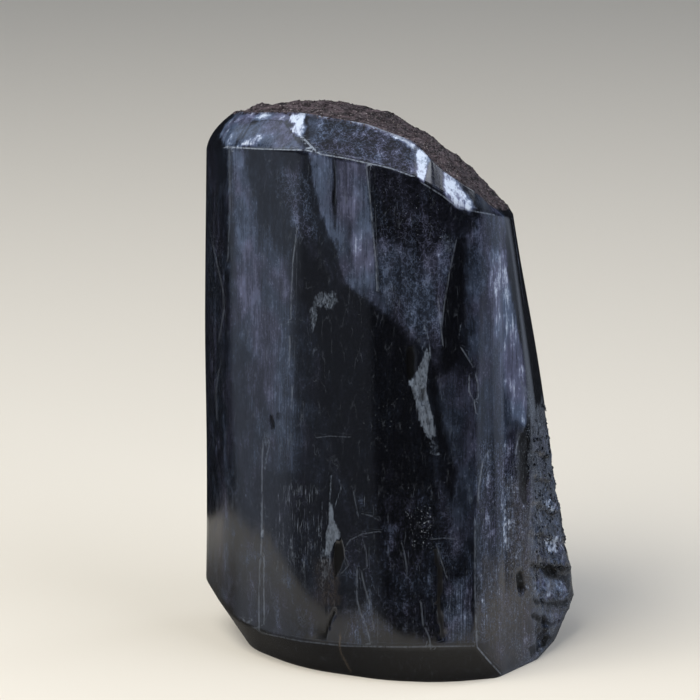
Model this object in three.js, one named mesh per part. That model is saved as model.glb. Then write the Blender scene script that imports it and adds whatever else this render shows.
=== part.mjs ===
// Black tourmaline (schorl) crystal, ground to a standing column.
// One solid stone: a tall body with gently curved, ground sides, a flat underside with a
// ground bevel round it, a wide faceted bevel at the shoulders and a rough, domed natural top.
// Millimetres, +Z up, front faces -Y. The origin is on the table under the middle of the stone.

import * as THREE from 'three';

// Driving sizes
const HEIGHT = 80;            // table to the highest point of the natural top
const CREST_X = -10;          // where across the width the top is highest
const CREST_Y = -3;           // where front to back the top is highest
const FALL_RIGHT = 0.0200;    // how fast the top falls away to the right, per mm squared
const FALL_LEFT = 0.013;      // the same to the left
const FALL_DEPTH = 0.0085;    // the same to the front and the back
const SPINE_SHARE = 0.45;     // length of the top's ridge line, as a share of the top's width
const MIDDLE = [0.48, -0.23];  // middle of the box round the stone, as the posts below are given

// The posts stand round the stone, left, front, right, back. Each gives the outline at four levels:
// foot on the table, heel at the top of the low bevel, shoulder at the bottom of the upper bevel
// and brow at its top. low and high are how far the corner is rounded off at the bottom and the
// top of the stone, bow is how far the body swells between heel and shoulder, and count is the
// number of strips up to the next post.
const POSTS = [
  { name: 'left', foot: [-21.3, 5.0], heel: [-27.5, 5.0, 8.8],
    shoulder: [-26.8, 6.0, 71.8], brow: [-22.3, 6.0, 77.4], low: 3.0, high: 3.0, bow: 0.0, count: 4 },
  { name: 'left edge', foot: [-20.4, -3.2], heel: [-22.8, -6.3, 5.2],
    shoulder: [-22.6, -5.6, 73.8], brow: [-20.4, -1.8, 78.4], low: 5.0, high: 1.0, bow: 0.0, count: 6 },
  { name: 'bevel corner', foot: [-12.4, -12.1], heel: [-13.6, -14.6, 5.0],
    shoulder: [-12.3, -13.6, 75.0], brow: [-12.6, -8.0, 79.4], low: 5.0, high: 1.0, bow: 0.4, count: 6 },
  { name: 'front edge', foot: [-0.6, -17.0], heel: [-0.4, -19.3, 5.3],
    shoulder: [-3.2, -17.4, 74.0], brow: [-3.2, -11.4, 78.4], low: 6.0, high: 1.2, bow: 0.0, count: 4 },
  { name: 'bevel break', foot: [5.4, -17.7], heel: [4.8, -19.9, 5.6],
    shoulder: [3.4, -18.4, 72.2], brow: [3.1, -13.2, 76.3], low: 3.0, high: 0.6, bow: 0.3, count: 2 },
  { name: 'bevel notch', foot: [7.9, -17.6], heel: [7.2, -19.9, 5.7],
    shoulder: [5.8, -18.5, 71.0], brow: [5.6, -14.9, 74.0], low: 2.0, high: 0.4, bow: 0.3, count: 2 },
  { name: 'front right', foot: [10.4, -17.3], heel: [9.6, -19.6, 5.6],
    shoulder: [7.8, -18.3, 69.8], brow: [7.5, -15.2, 72.3], low: 2.0, high: 1.0, bow: 0.3, count: 2 },
  { name: 'flat left', foot: [15.2, -16.0], heel: [11.9, -18.8, 5.4],
    shoulder: [11.8, -17.0, 67.4], brow: [12.0, -14.8, 69.4], low: 0.5, high: 2.4, bow: 0.2, count: 2 },
  { name: 'flat foot', foot: [15.9, -15.4], heel: [16.1, -15.2, 0.5],
    shoulder: [14.6, -13.8, 66.0], brow: [14.2, -12.6, 66.9], low: 0.6, high: 2.4, bow: 0.2, count: 6 },
  { name: 'right edge', foot: [21.6, -8.3], heel: [22.6, -7.9, 1.4],
    shoulder: [17.0, -8.4, 64.9], brow: [16.4, -7.8, 65.6], low: 1.0, high: 2.4, bow: 1.3, count: 11 },
  { name: 'right', foot: [25.4, 1.9], heel: [28.4, 2.8, 6.6],
    shoulder: [18.1, 2.4, 63.2], brow: [17.3, 2.4, 64.4], low: 2.6, high: 3.5, bow: 0.0, count: 7 },
  { name: 'right back', foot: [20.6, 11.0], heel: [23.6, 13.0, 4.6],
    shoulder: [15.6, 11.4, 62.6], brow: [13.2, 8.8, 66.4], low: 3.0, high: 3.0, bow: 0.4, count: 8 },
  { name: 'back right', foot: [10.4, 16.2], heel: [11.4, 18.9, 4.2],
    shoulder: [8.2, 17.3, 66.4], brow: [7.2, 12.4, 71.2], low: 4.0, high: 4.0, bow: 0.6, count: 7 },
  { name: 'back', foot: [-5.0, 17.0], heel: [-5.0, 19.6, 4.2],
    shoulder: [-5.0, 18.2, 71.0], brow: [-5.0, 12.4, 76.4], low: 5.0, high: 5.0, bow: 0.5, count: 7 },
  { name: 'back left', foot: [-16.4, 12.8], heel: [-19.4, 15.8, 5.4],
    shoulder: [-18.6, 15.2, 71.2], brow: [-15.4, 10.6, 76.4], low: 3.5, high: 3.5, bow: 0.3, count: 7 },
];

// Strips up the stone
const LOW_BODY_TOP = 0.42;    // share of the body's height that the broken side takes up
const LOW_BODY_ROWS = 21;     // fine rows there
const HIGH_BODY_ROWS = 11;    // coarse rows above
const LOW_BEVEL_ROWS = 2;
const HIGH_BEVEL_ROWS = 3;
const CRUST_RINGS = 7;
const CORNER_STRIPS = 2;      // strips round each rounded corner

// The broken side, low on the right: slabs that step out and down, each with a lip
const LIPS = [2.4, 4.0, 5.6, 7.6, 11.8, 16.3, 20.7, 25.0, 29.0, 31.0];  // heights of the lips
const LIP_DEPTHS = [0.2, 0.3, 0.7, 1.5, 1.0, 0.8, 0.7, 0.5, 0];  // how deep it is cut in under each
const LIP_STEP = 0.9;         // height over which the stone steps out again above each cut
const LIP_SLANT = -0.38;      // the lips drop towards the back by this much per mm
const BROKEN_MIDDLE = -2.9;   // middle of the broken side, front to back
const BROKEN_HALF = 7.6;      // half its width
const BROKEN_EDGE = 5;        // the higher, the steeper the broken side starts

// The upper bevel is rounded, not flat, at its left end
const BULGE = 0.95;           // how far it swells there, sideways
const BULGE_START = -13;      // the swelling starts here across the width
const BULGE_FULL = -19;       // and is full from here on to the left

// Pits in the broken side and the ground flat beside it: place, radius and depth
const PITS = [
  { place: [22.4, -7.2, 2.7], radius: 1.2, depth: 0.9 },
  { place: [18.9, -12.1, 11.9], radius: 0.9, depth: 0.5 },
];

// Natural ribs down the back
const RIB_PITCH = 5.4;
const RIB_DEPTH = 0.42;

// Hand-ground surfaces are never quite flat
const WAVE_DEPTH = 0.16;
const CRUST_LUMP = 0.42;      // height of the lumps on the natural top

function smooth(from, to, value) {
  const t = Math.min(Math.max((value - from) / (to - from), 0), 1);
  return t * t * (3 - 2 * t);
}

function mix(a, b, t) {
  return a + (b - a) * t;
}

// Height of the natural top before its lumps
function domeHeight(x, y) {
  const dx = x - CREST_X;
  const dy = y - CREST_Y;
  return HEIGHT - (dx > 0 ? FALL_RIGHT : FALL_LEFT) * dx * dx - FALL_DEPTH * dy * dy;
}

function crustLumps(x, y) {
  return (
    0.45 * Math.sin(0.83 * x + 0.41 * y + 0.6) * Math.sin(0.57 * y - 0.22 * x) +
    0.35 * Math.sin(1.31 * x - 0.74 * y + 2.1) +
    0.30 * Math.sin(0.37 * x + 1.19 * y + 4.0)
  );
}

// How far the surface lies inside the ground outline, in mm, at a point of the body
function inset(x, y, z) {
  let depth = 0;
  if (x > 12) {
    const across = 1 - Math.pow(Math.min(Math.abs(y - BROKEN_MIDDLE) / BROKEN_HALF, 1), BROKEN_EDGE);
    const height = z - LIP_SLANT * (y - BROKEN_MIDDLE);
    for (let i = 0; i < LIP_DEPTHS.length; i += 1) {
      const above = height - LIPS[i];
      const under = i > 0 ? LIP_DEPTHS[i - 1] : 0;
      if (above >= 0 && height < LIPS[i + 1]) {
        depth += across * LIP_DEPTHS[i] * above / (LIPS[i + 1] - LIPS[i]);
        depth += across * under * Math.max(0, 1 - above / LIP_STEP);
      }
    }
    for (const pit of PITS) {
      const away = Math.hypot(x - pit.place[0], y - pit.place[1], z - pit.place[2]);
      depth += pit.depth * smooth(pit.radius, 0, away);
    }
  }
  const back = smooth(6, 13, y) * smooth(2, 9, z);
  depth += back * RIB_DEPTH * (1 + Math.sin((2 * Math.PI * x) / RIB_PITCH + 0.7 * Math.sin(z / 17)));
  depth += WAVE_DEPTH * Math.sin(0.34 * x + 0.21 * y + 0.9 * Math.sin(z / 13)) *
    Math.cos(z / 9.5 + 0.2 * x);
  return depth;
}

// A closed ring through one level's corners, each rounded by a quadratic curve
function levelRing(corners, softness) {
  const total = corners.length;
  const lengthAfter = corners.map((p, i) => p.distanceTo(corners[(i + 1) % total]));
  const reach = corners.map((p, i) => {
    const before = lengthAfter[(i + total - 1) % total];
    return Math.min(POSTS[i][softness], 0.45 * before, 0.45 * lengthAfter[i]);
  });
  const ring = [];
  for (let i = 0; i < total; i += 1) {
    const corner = corners[i];
    const previous = corners[(i + total - 1) % total];
    const next = corners[(i + 1) % total];
    const start = corner.clone().lerp(previous, reach[i] / corner.distanceTo(previous));
    const end = corner.clone().lerp(next, reach[i] / lengthAfter[i]);
    const curve = new THREE.QuadraticBezierCurve3(start, corner, end);
    for (let k = 0; k <= CORNER_STRIPS; k += 1) {
      ring.push(curve.getPoint(k / CORNER_STRIPS));
    }
    const nextStart = next.clone().lerp(corner, reach[(i + 1) % total] / lengthAfter[i]);
    for (let k = 1; k < POSTS[i].count; k += 1) {
      ring.push(end.clone().lerp(nextStart, k / POSTS[i].count));
    }
  }
  return ring;
}

// One number per ring point, blended from post to post
function ringValues(key) {
  const values = [];
  POSTS.forEach((post, i) => {
    const following = POSTS[(i + 1) % POSTS.length];
    for (let k = 0; k <= CORNER_STRIPS; k += 1) {
      values.push(post[key]);
    }
    for (let k = 1; k < post.count; k += 1) {
      values.push(mix(post[key], following[key], k / post.count));
    }
  });
  return values;
}

// Points of a ring moved out by as much as outBy gives for each, sideways to the ring
function shifted(ring, outBy) {
  const total = ring.length;
  return ring.map((p, i) => {
    const along = ring[(i + 1) % total].clone().sub(ring[(i + total - 1) % total]);
    const outward = new THREE.Vector3(along.y, -along.x, 0).normalize();
    return p.clone().addScaledVector(outward, outBy(p));
  });
}

function relieved(ring, strength) {
  return shifted(ring, (p) => -strength * inset(p.x, p.y, p.z));
}

function stoneRows() {
  const foot = levelRing(POSTS.map((post) => new THREE.Vector3(...post.foot, 0)), 'low');
  const heel = levelRing(POSTS.map((post) => new THREE.Vector3(...post.heel)), 'low');
  const shoulder = levelRing(POSTS.map((post) => new THREE.Vector3(...post.shoulder)), 'high');
  const brow = levelRing(POSTS.map((post) => new THREE.Vector3(...post.brow)), 'high');
  const bow = ringValues('bow');
  const rows = [foot];
  for (let k = 1; k < LOW_BEVEL_ROWS; k += 1) {
    const t = k / LOW_BEVEL_ROWS;
    rows.push(relieved(foot.map((p, i) => p.clone().lerp(heel[i], t)), t));
  }
  const shares = [];
  for (let k = 0; k < LOW_BODY_ROWS; k += 1) {
    shares.push((LOW_BODY_TOP * k) / LOW_BODY_ROWS);
  }
  for (let k = 0; k <= HIGH_BODY_ROWS; k += 1) {
    shares.push(mix(LOW_BODY_TOP, 1, k / HIGH_BODY_ROWS));
  }
  shares.forEach((t) => {
    const ring = heel.map((p, i) => {
      const q = p.clone().lerp(shoulder[i], t);
      const swell = 1 + (4 * bow[i] * t * (1 - t)) / Math.hypot(q.x, q.y);
      return new THREE.Vector3(q.x * swell, q.y * swell, q.z);
    });
    rows.push(relieved(ring, 1));
  });
  for (let k = 1; k < HIGH_BEVEL_ROWS; k += 1) {
    const t = k / HIGH_BEVEL_ROWS;
    const flat = relieved(shoulder.map((p, i) => p.clone().lerp(brow[i], t)), 1 - t);
    rows.push(shifted(flat, (p) => 4 * BULGE * t * (1 - t) * smooth(BULGE_START, BULGE_FULL, p.x)));
  }
  rows.push(brow);
  return rows;
}

// The natural top: rings that close in from the brow over the dome
function crustRows(brow) {
  const rows = [];
  for (let k = 1; k < CRUST_RINGS; k += 1) {
    const share = k / CRUST_RINGS;
    rows.push(brow.map((p) => {
      const x = mix(p.x, CREST_X + SPINE_SHARE * (p.x - CREST_X), share);
      const y = mix(p.y, CREST_Y, share);
      const edge = p.z - domeHeight(p.x, p.y);
      const lumps = CRUST_LUMP * crustLumps(x, y) * smooth(0, 0.25, share);
      return new THREE.Vector3(x, y, domeHeight(x, y) + edge * (1 - share) ** 2 + lumps);
    }));
  }
  return rows;
}

// The last ring is long and thin. It closes along the ridge, front side to back side.
function ridgeFaces(ring) {
  const around = ring.length;
  const across = ring.map((p) => p.x);
  const left = across.indexOf(Math.min(...across));
  const right = across.indexOf(Math.max(...across));
  const faces = [];
  let front = left;
  let back = left;
  while (front !== right || back !== right) {
    const nextFront = (front + 1) % around;
    const nextBack = (back + around - 1) % around;
    const stepFront = back === right || (front !== right && across[nextFront] < across[nextBack]);
    if (stepFront) {
      faces.push(front, nextFront, back);
      front = nextFront;
    } else {
      faces.push(back, front, nextBack);
      back = nextBack;
    }
  }
  return faces;
}

function stoneGeometry() {
  const body = stoneRows();
  const rows = [...body, ...crustRows(body[body.length - 1])];
  const around = rows[0].length;
  const points = rows.flat();
  const faces = [];
  for (let r = 0; r + 1 < rows.length; r += 1) {
    for (let c = 0; c < around; c += 1) {
      const next = (c + 1) % around;
      const a = r * around + c;
      const b = r * around + next;
      const d = (r + 1) * around + c;
      const e = (r + 1) * around + next;
      faces.push(a, b, e, a, e, d);
    }
  }
  const under = points.length;
  points.push(new THREE.Vector3(0, 0, 0));
  for (let c = 0; c < around; c += 1) {
    faces.push(under, (c + 1) % around, c);
  }
  const last = (rows.length - 1) * around;
  faces.push(...ridgeFaces(rows[rows.length - 1]).map((c) => last + c));
  const geometry = new THREE.BufferGeometry();
  geometry.setAttribute('position', new THREE.Float32BufferAttribute(
    points.flatMap((p) => [p.x, p.y, p.z]), 3));
  geometry.setIndex(faces);
  geometry.translate(-MIDDLE[0], -MIDDLE[1], 0);
  geometry.computeVertexNormals();
  return geometry;
}

const schorl = new THREE.MeshStandardMaterial({
  color: 0x23262c,
  roughness: 0.22,
  metalness: 0,
});

const stone = new THREE.Mesh(stoneGeometry(), schorl);
stone.name = 'tourmaline_crystal';

const model = new THREE.Group();
model.add(stone);

export default model;
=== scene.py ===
"""A polished black tourmaline standing stone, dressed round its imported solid."""

import math
from collections import namedtuple
from functools import partial

import bpy
import numpy as np
from bpy.props import FloatProperty, FloatVectorProperty, IntProperty, PointerProperty
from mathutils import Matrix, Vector


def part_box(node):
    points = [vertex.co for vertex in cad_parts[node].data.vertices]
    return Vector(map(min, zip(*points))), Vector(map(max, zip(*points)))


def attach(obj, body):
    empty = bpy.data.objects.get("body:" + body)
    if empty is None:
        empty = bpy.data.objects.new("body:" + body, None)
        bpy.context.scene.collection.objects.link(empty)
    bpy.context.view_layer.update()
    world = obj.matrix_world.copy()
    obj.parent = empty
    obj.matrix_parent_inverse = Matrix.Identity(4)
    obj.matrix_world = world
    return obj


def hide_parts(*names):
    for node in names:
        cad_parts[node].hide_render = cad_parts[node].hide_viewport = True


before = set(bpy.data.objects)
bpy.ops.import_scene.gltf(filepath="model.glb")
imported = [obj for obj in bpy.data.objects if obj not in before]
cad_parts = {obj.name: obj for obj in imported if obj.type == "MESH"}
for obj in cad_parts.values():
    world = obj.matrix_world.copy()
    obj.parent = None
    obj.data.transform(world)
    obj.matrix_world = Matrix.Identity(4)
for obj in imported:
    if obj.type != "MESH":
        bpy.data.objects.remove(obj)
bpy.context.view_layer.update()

bl_info = {
    "name": "Schorl standing stone",
    "version": (1, 0, 0),
    "blender": (4, 5, 0),
    "location": "View3D > Sidebar > Stone",
    "description": "Makes a ground and polished black tourmaline with a rough natural top",
    "category": "Add Mesh",
}

NODE = "tourmaline_crystal"
BODY = "root"
MM = 0.001


def linear(hex_colour):
    """Linear red, green and blue of an sRGB hex colour, with full alpha."""
    channels = [int(hex_colour[i : i + 2], 16) / 255 for i in (1, 3, 5)]
    return [c / 12.92 if c <= 0.04045 else ((c + 0.055) / 1.055) ** 2.4 for c in channels] + [1.0]


# Shape of the solid, in millimetres

LUMP_RISE = 0.30  # the highest lump above the natural top's crest
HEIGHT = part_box(NODE)[1].z / MM - LUMP_RISE
CREST = (-10.0, -3.0)
FALL_RIGHT, FALL_LEFT, FALL_DEPTH = 0.0200, 0.013, 0.0085
SPINE_SHARE = 0.45
MIDDLE = (0.48, -0.23)

# The posts stand round the stone. low and high round its corners off at the foot and the top, bow is
# the swell of the body, and strip the width of the mesh strips up to the next post.
Post = namedtuple("Post", "name foot heel shoulder brow low high bow strip")

POSTS = (
    Post("left", (-21.3, 5), (-27.5, 5, 8.8), (-26.8, 6, 71.8), (-22.3, 6, 77.4), 3, 3, 0, 0.34),
    Post("left edge", (-20.4, -3.2), (-22.8, -6.3, 5.2), (-22.6, -5.6, 73.8),
        (-20.4, -1.8, 78.4), 5, 1, 0, 0.26),
    Post("bevel corner", (-12.4, -12.1), (-13.6, -14.6, 5), (-12.3, -13.6, 75),
        (-12.6, -8, 79.4), 5, 1, 0.4, 0.26),
    Post("front edge", (-0.6, -17), (-0.4, -19.3, 5.3), (-3.2, -17.4, 74),
        (-3.2, -11.4, 78.4), 6, 1.2, 0, 0.26),
    Post("bevel break", (5.4, -17.7), (4.8, -19.9, 5.6), (3.4, -18.4, 72.2),
        (3.1, -13.2, 76.3), 3, 0.6, 0.3, 0.26),
    Post("bevel notch", (7.9, -17.6), (7.2, -19.9, 5.7), (5.8, -18.5, 71),
        (5.6, -14.9, 74), 2, 0.4, 0.3, 0.26),
    Post("front right", (10.4, -17.3), (9.6, -19.6, 5.6), (7.8, -18.3, 69.8),
        (7.5, -15.2, 72.3), 2, 1, 0.3, 0.26),
    Post("flat left", (15.2, -16), (11.9, -18.8, 5.4), (11.8, -17, 67.4),
        (12, -14.8, 69.4), 0.5, 2.4, 0.2, 0.26),
    Post("flat foot", (15.9, -15.4), (16.1, -15.2, 0.5), (14.6, -13.8, 66),
        (14.2, -12.6, 66.9), 0.6, 2.4, 0.2, 0.26),
    Post("right edge", (21.6, -8.3), (22.6, -7.9, 1.4), (17, -8.4, 64.9),
        (16.4, -7.8, 65.6), 1, 2.4, 1.3, 0.24),
    Post("right", (25.4, 1.9), (28.4, 2.8, 6.6), (18.1, 2.4, 63.2), (17.3, 2.4, 64.4), 2.6, 3.5, 0, 0.60),
    Post("right back", (20.6, 11), (23.6, 13, 4.6), (15.6, 11.4, 62.6), (13.2, 8.8, 66.4), 3, 3, 0.4, 0.66),
    Post("back right", (10.4, 16.2), (11.4, 18.9, 4.2), (8.2, 17.3, 66.4),
        (7.2, 12.4, 71.2), 4, 4, 0.6, 0.66),
    Post("back", (-5, 17), (-5, 19.6, 4.2), (-5, 18.2, 71), (-5, 12.4, 76.4), 5, 5, 0.5, 0.66),
    Post("back left", (-16.4, 12.8), (-19.4, 15.8, 5.4), (-18.6, 15.2, 71.2),
        (-15.4, 10.6, 76.4), 3.5, 3.5, 0.3, 0.60),
)

CORNER_STRIPS = 5
BODY_ROWS = 146
BEVEL_ROWS = 12
CRUST_RINGS = 26
LAST_RING = 6 / 7  # how far in the last ring lies before the top closes along its ridge

BULGE = 0.95  # how far the left end of the upper bevel swells, sideways
BULGE_START, BULGE_FULL = -13, -19

LIPS = (2.4, 4.0, 5.6, 7.6, 11.8, 16.3, 20.7, 25.0, 29.0, 31.0)
LIP_DEPTHS = (0.2, 0.3, 0.7, 1.5, 1.0, 0.8, 0.7, 0.5, 0)
LIP_STEP = 0.3
LIP_SLANT = -0.38
LIP_RAGGED, LIP_BUMPS = 1.2, ((2.2, 2.2, 2.2), 14)
BROKEN_FROM = 12  # the broken side lies further right than this
BROKEN_MIDDLE = -2.9
BROKEN_HALF = 7.6
BROKEN_EDGE = 5
EDGE_WOBBLE, EDGE_BUMPS = 1.6, ((2.0, 2.0, 3.0), 16)  # how raggedly the broken side's own edge runs
EDGE_FOOT, EDGE_HEAD = np.array([22.6, -7.9]), np.array([17.0, -8.4])  # the ground edge in front of it
EDGE_HEIGHT = 65
NICK_DEPTH, NICK_REACH = 0.9, 2.4
NICK_BUMPS = ((1.0, 1.0, 2.4), 17)
SPLINTERS_TOP = 38.0  # the broken side ends in a strip of splinters that reaches up to here
PITS = (((22.4, -7.2, 2.7), 1.2, 0.9), ((18.9, -12.1, 11.9), 0.9, 0.5))
RIB_PITCH = 5.4
RIB_DEPTH = 0.42
RIBS_START, RIBS_FULL = (6, 2), (13, 9)  # towards the back and up
WAVE_DEPTH = 0.16
CRUST_LUMP = 0.42
TERRACES = ((1, (3.0, 0.7, 1), 21), (0.7, (0.8, 0.45, 1), 22))  # small steps of the natural top
TERRACE_MEAN, TERRACE_RISE = 0.85, 0.6
# Bumps in mm, and seeds, of the back's fibres and the broken side's rubble, crumbs and splinters
FINE_BUMPS = (((0.45, 0.45, 5.0), 11), ((1.3, 1.3, 0.7), 12), ((0.5, 0.5, 0.35), 13), ((0.55, 0.55, 2.6), 15))
FIBRE_DEPTH, RUBBLE_DEPTH, CRUMB_DEPTH, SPLINTER_DEPTH = 0.12, 0.5, 0.10, 0.45
BROKEN_LOSS, STRIP_LOSS = 0.08, 0.1
POLISH_LOSS = 0.14  # the dressed stone lies this far inside the solid
CRUST_LOSS = 0.30  # and this far under the solid's natural top, which leaves room for its grains
PIXELS_PER_MM = 7.0  # of the photograph, on the stone


# Marks in the front, kind by kind, placed by pixel of the photograph (700 by 700, x to the right, y
# down). A patch is a name, an amount, the softness of its edge and its closed outline. A stroke is a
# name, an amount, half its width and its open line. tone runs from 0, black glass, to 1, the palest
# grey; its patches paint the stone's silky grey together with painted reflections, sheen and
# highlights where faces mirror bright surroundings, and painted shade where they mirror dark ones.
# Patches of tone are laid over each other in this order. A hair below 0 is dark.

PATCHES = {}
PATCHES["tone"] = (
    ("front", 0.16, 5, (228, 147), (500, 215), (530, 480), (530, 690), (228, 690)),
    # painted reflection of the floor: lighter brown-grey low on the left facet
    ("left facet, low", 0.3, 12, (204, 470), (226, 470), (226, 590), (204, 580)),
    ("left facet", 0.16, 2, (196, 140), (229, 146), (227, 300), (226, 420), (214, 520), (196, 560)),
    # painted reflection: the silk bands and cores are rounded left faces mirroring the bright surroundings,
    # over the stone's silky grey
    ("silk band", 0.36, 7, (229, 147), (248, 147), (262, 225), (292, 262), (296, 345), (304, 420),
        (308, 500), (270, 560), (236, 560), (228, 480), (229, 300)),
    ("silk core", 0.57, 5, (233, 150), (243, 150), (251, 200), (257, 255), (262, 320), (258, 360),
        (246, 340), (239, 270), (235, 210)),
    ("second silk core", 0.44, 6, (264, 262), (284, 258), (292, 300), (292, 350), (298, 420), (290, 450),
        (272, 440), (266, 380), (262, 320)),
    ("beside the silk", 0.27, 7, (228, 340), (244, 350), (262, 400), (262, 470), (258, 520), (232, 520)),
    ("top wedge", 0.17, 2, (250, 149), (309, 152), (316, 190), (332, 242), (345, 262), (343, 284),
        (322, 264), (300, 241), (276, 206), (262, 185)),
    ("wedge mottles", 0.32, 6, (284, 170), (300, 165), (306, 200), (310, 235), (298, 238), (286, 212)),
    ("mauve band", 0.63, 1.6, (309, 152), (334, 158), (332, 200), (336, 242), (346, 262), (334, 246),
        (320, 212), (312, 180)),
    ("light facet", 0.61, 1.6, (336, 159), (366, 164), (370, 200), (373, 232), (376, 262), (377, 292),
        (362, 294), (347, 285), (339, 262), (336, 225)),
    ("its shaded side", 0.46, 4, (336, 160), (348, 161), (350, 220), (356, 285), (347, 284), (338, 262)),
    ("its tail", 0.5, 2, (346, 283), (376, 290), (388, 303), (385, 314), (370, 302), (355, 292)),
    # painted shade: black where the front mirrors the dark surroundings
    ("black middle", 0.05, 3.5, (296, 243), (303, 243), (322, 266), (346, 287), (385, 315), (403, 333),
        (412, 362), (414, 386), (421, 412), (433, 446), (437, 500), (434, 560), (425, 600), (400, 600),
        (380, 560), (345, 545), (342, 470), (328, 420), (318, 400), (320, 345), (308, 300), (297, 300),
        (292, 262)),
    ("left of the middle", 0.2, 5, (293, 300), (308, 310), (316, 345), (318, 420), (318, 480), (306, 500),
        (300, 430), (294, 350)),
    ("black by the bevel", 0.12, 2.2, (368, 165), (390, 169), (413, 178), (440, 196), (447, 216),
        (440, 240), (432, 262), (416, 252), (398, 240), (378, 238), (372, 205)),
    ("mottled field", 0.36, 6, (375, 240), (398, 244), (418, 254), (440, 246), (456, 243), (448, 290),
        (441, 335), (436, 352), (420, 345), (402, 328), (390, 314), (380, 300), (377, 270)),
    ("black band", 0.03, 1.8, (457, 240), (466, 236), (468, 262), (463, 300), (460, 345), (454, 368),
        (444, 372), (441, 345), (446, 290)),
    ("mauve field", 0.35, 7, (430, 352), (442, 376), (462, 370), (476, 380), (486, 420), (492, 450),
        (480, 520), (456, 560), (440, 500), (434, 440), (430, 395)),
    ("dark by the blade", 0.08, 4, (429, 356), (440, 372), (438, 400), (446, 440), (458, 470), (452, 500),
        (440, 480), (436, 440), (430, 400)),
    # painted sheen: the right field and its core mirror the bright surroundings to the right
    ("right field", 0.42, 5, (468, 236), (484, 214), (505, 218), (510, 262), (520, 318), (526, 372),
        (527, 420), (518, 450), (508, 500), (490, 470), (480, 430), (478, 390), (470, 345), (466, 290)),
    ("right core", 0.79, 4.5, (490, 250), (505, 252), (514, 300), (523, 352), (528, 395), (526, 425),
        (512, 420), (500, 360), (493, 300)),
    ("right strip", 0.07, 1.6, (505, 212), (520, 214), (530, 262), (541, 320), (551, 380), (560, 440),
        (560, 470), (524, 470), (518, 450), (527, 420), (528, 392), (523, 352), (514, 306), (508, 270)),
    ("fibrous slope", 0.3, 5, (478, 440), (520, 430), (516, 470), (524, 520), (530, 560), (532, 640),
        (500, 660), (480, 645), (476, 560), (474, 500)),
    # painted reflection of the warm floor low on the slope
    ("brown slope", 0.26, 6, (492, 580), (528, 560), (531, 640), (505, 665), (490, 640)),
    ("low left", 0.12, 8, (236, 480), (300, 470), (318, 500), (320, 560), (300, 560), (270, 550),
        (236, 548)),
    ("streaked dark", 0.1, 4, (272, 485), (345, 480), (345, 545), (330, 560), (312, 580), (290, 566),
        (274, 545)),
    ("low middle", 0.12, 8, (345, 560), (440, 560), (446, 640), (340, 645)),
    ("low block", 0.4, 3, (446, 585), (470, 575), (474, 640), (448, 642), (443, 615)),
    ("low panel", 0.24, 3, (334, 612), (376, 603), (378, 644), (326, 646), (328, 628)),
    ("small panel", 0.34, 1.5, (384, 523), (396, 523), (395, 552), (386, 552)),
    ("black spot", 0.0, 2, (386, 574), (391, 574), (390, 602), (386, 600)),
    # painted shade: black where the foot bevel mirrors the shaded floor in front
    ("foot bevel", 0.0, 1.5, (205, 580), (238, 618), (262, 634), (300, 642), (345, 647), (400, 648),
        (477, 647), (500, 674), (400, 690), (200, 690)),
    # painted reflections and highlights on the upper bevel: its ends, bands, streak, flash, brow highlight
    # and bright facets
    ("bevel, dark end", 0.1, 1, (200, 150), (204, 132), (226, 108), (240, 102), (238, 112), (219, 134),
        (228, 148)),
    ("bevel, grey end", 0.7, 2, (219, 136), (226, 124), (240, 110), (252, 108), (246, 124), (234, 147),
        (226, 147)),
    ("bevel, upper", 0.8, 1.5, (250, 107), (295, 110), (291, 119), (284, 122), (268, 120), (253, 121),
        (246, 124)),
    ("bevel, lower", 0.6, 1.5, (246, 124), (268, 121), (284, 122), (292, 133), (305, 149), (262, 148),
        (234, 147)),
    ("bevel, streak", 1.0, 1, (236, 147), (250, 138), (258, 134), (263, 136), (259, 143), (253, 147)),
    ("bevel, flash", 1.1, 1.2, (293, 113), (308, 113), (303, 121), (307, 125), (305, 134), (302, 140),
        (296, 136), (289, 129), (294, 125), (288, 121)),
    ("bevel, beside the flash", 0.44, 3, (308, 116), (330, 118), (326, 150), (310, 148)),
    ("bevel, long facet", 0.24, 2, (324, 116), (366, 123), (392, 134), (412, 148), (413, 176), (385, 167),
        (352, 160), (320, 152)),
    ("bevel, along the brow", 0.62, 1, (330, 112), (370, 118), (405, 137), (416, 146), (404, 142),
        (380, 130), (350, 120), (330, 115)),
    ("bevel, brow highlight", 0.98, 1.2, (300, 110), (320, 111), (345, 115), (370, 121), (395, 131),
        (416, 144), (413, 149), (392, 137), (368, 127), (344, 120), (320, 116), (300, 115)),
    ("bevel, half-bright", 0.55, 1.5, (411, 148), (417, 149), (418, 176), (411, 174)),
    ("bevel, first bright", 1.12, 1.4, (416, 149), (424, 150), (430, 160), (427, 172), (424, 183),
        (417, 177)),
    ("bevel, notch", 0.28, 1, (430, 162), (438, 168), (443, 177), (441, 192), (428, 184), (427, 173)),
    ("bevel, second bright", 1.1, 1.6, (443, 172), (453, 173), (459, 185), (466, 193), (475, 204),
        (470, 212), (458, 207), (448, 201), (443, 190)),
    ("bevel, right end", 0.25, 2, (454, 173), (462, 178), (476, 196), (486, 210), (475, 204), (464, 190)),
    ("splinter strip", 0.36, 3, (533, 425), (552, 425), (562, 485), (545, 500), (532, 480)),
    ("sparkling break", 0.44, 4, (500, 487), (560, 487), (566, 560), (520, 560), (500, 540)),
    # painted highlights: bright glints on the glassy slabs of the broken side
    ("first glassy slab", 0.88, 1.5, (544, 500), (554, 498), (559, 512), (549, 513)),
    ("second glassy slab", 0.95, 1.5, (544, 538), (558, 536), (563, 550), (552, 555), (545, 550)),
    ("slab under them", 0.5, 2, (540, 556), (564, 556), (568, 566), (542, 562)),
    ("middle slab", 0.7, 2, (534, 582), (545, 578), (562, 580), (570, 592), (566, 600), (534, 600)),
    ("low slab", 0.52, 2, (530, 607), (566, 607), (560, 628), (532, 628)),
    ("last slab", 0.44, 2, (516, 642), (550, 630), (552, 650), (520, 668)),
)
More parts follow.
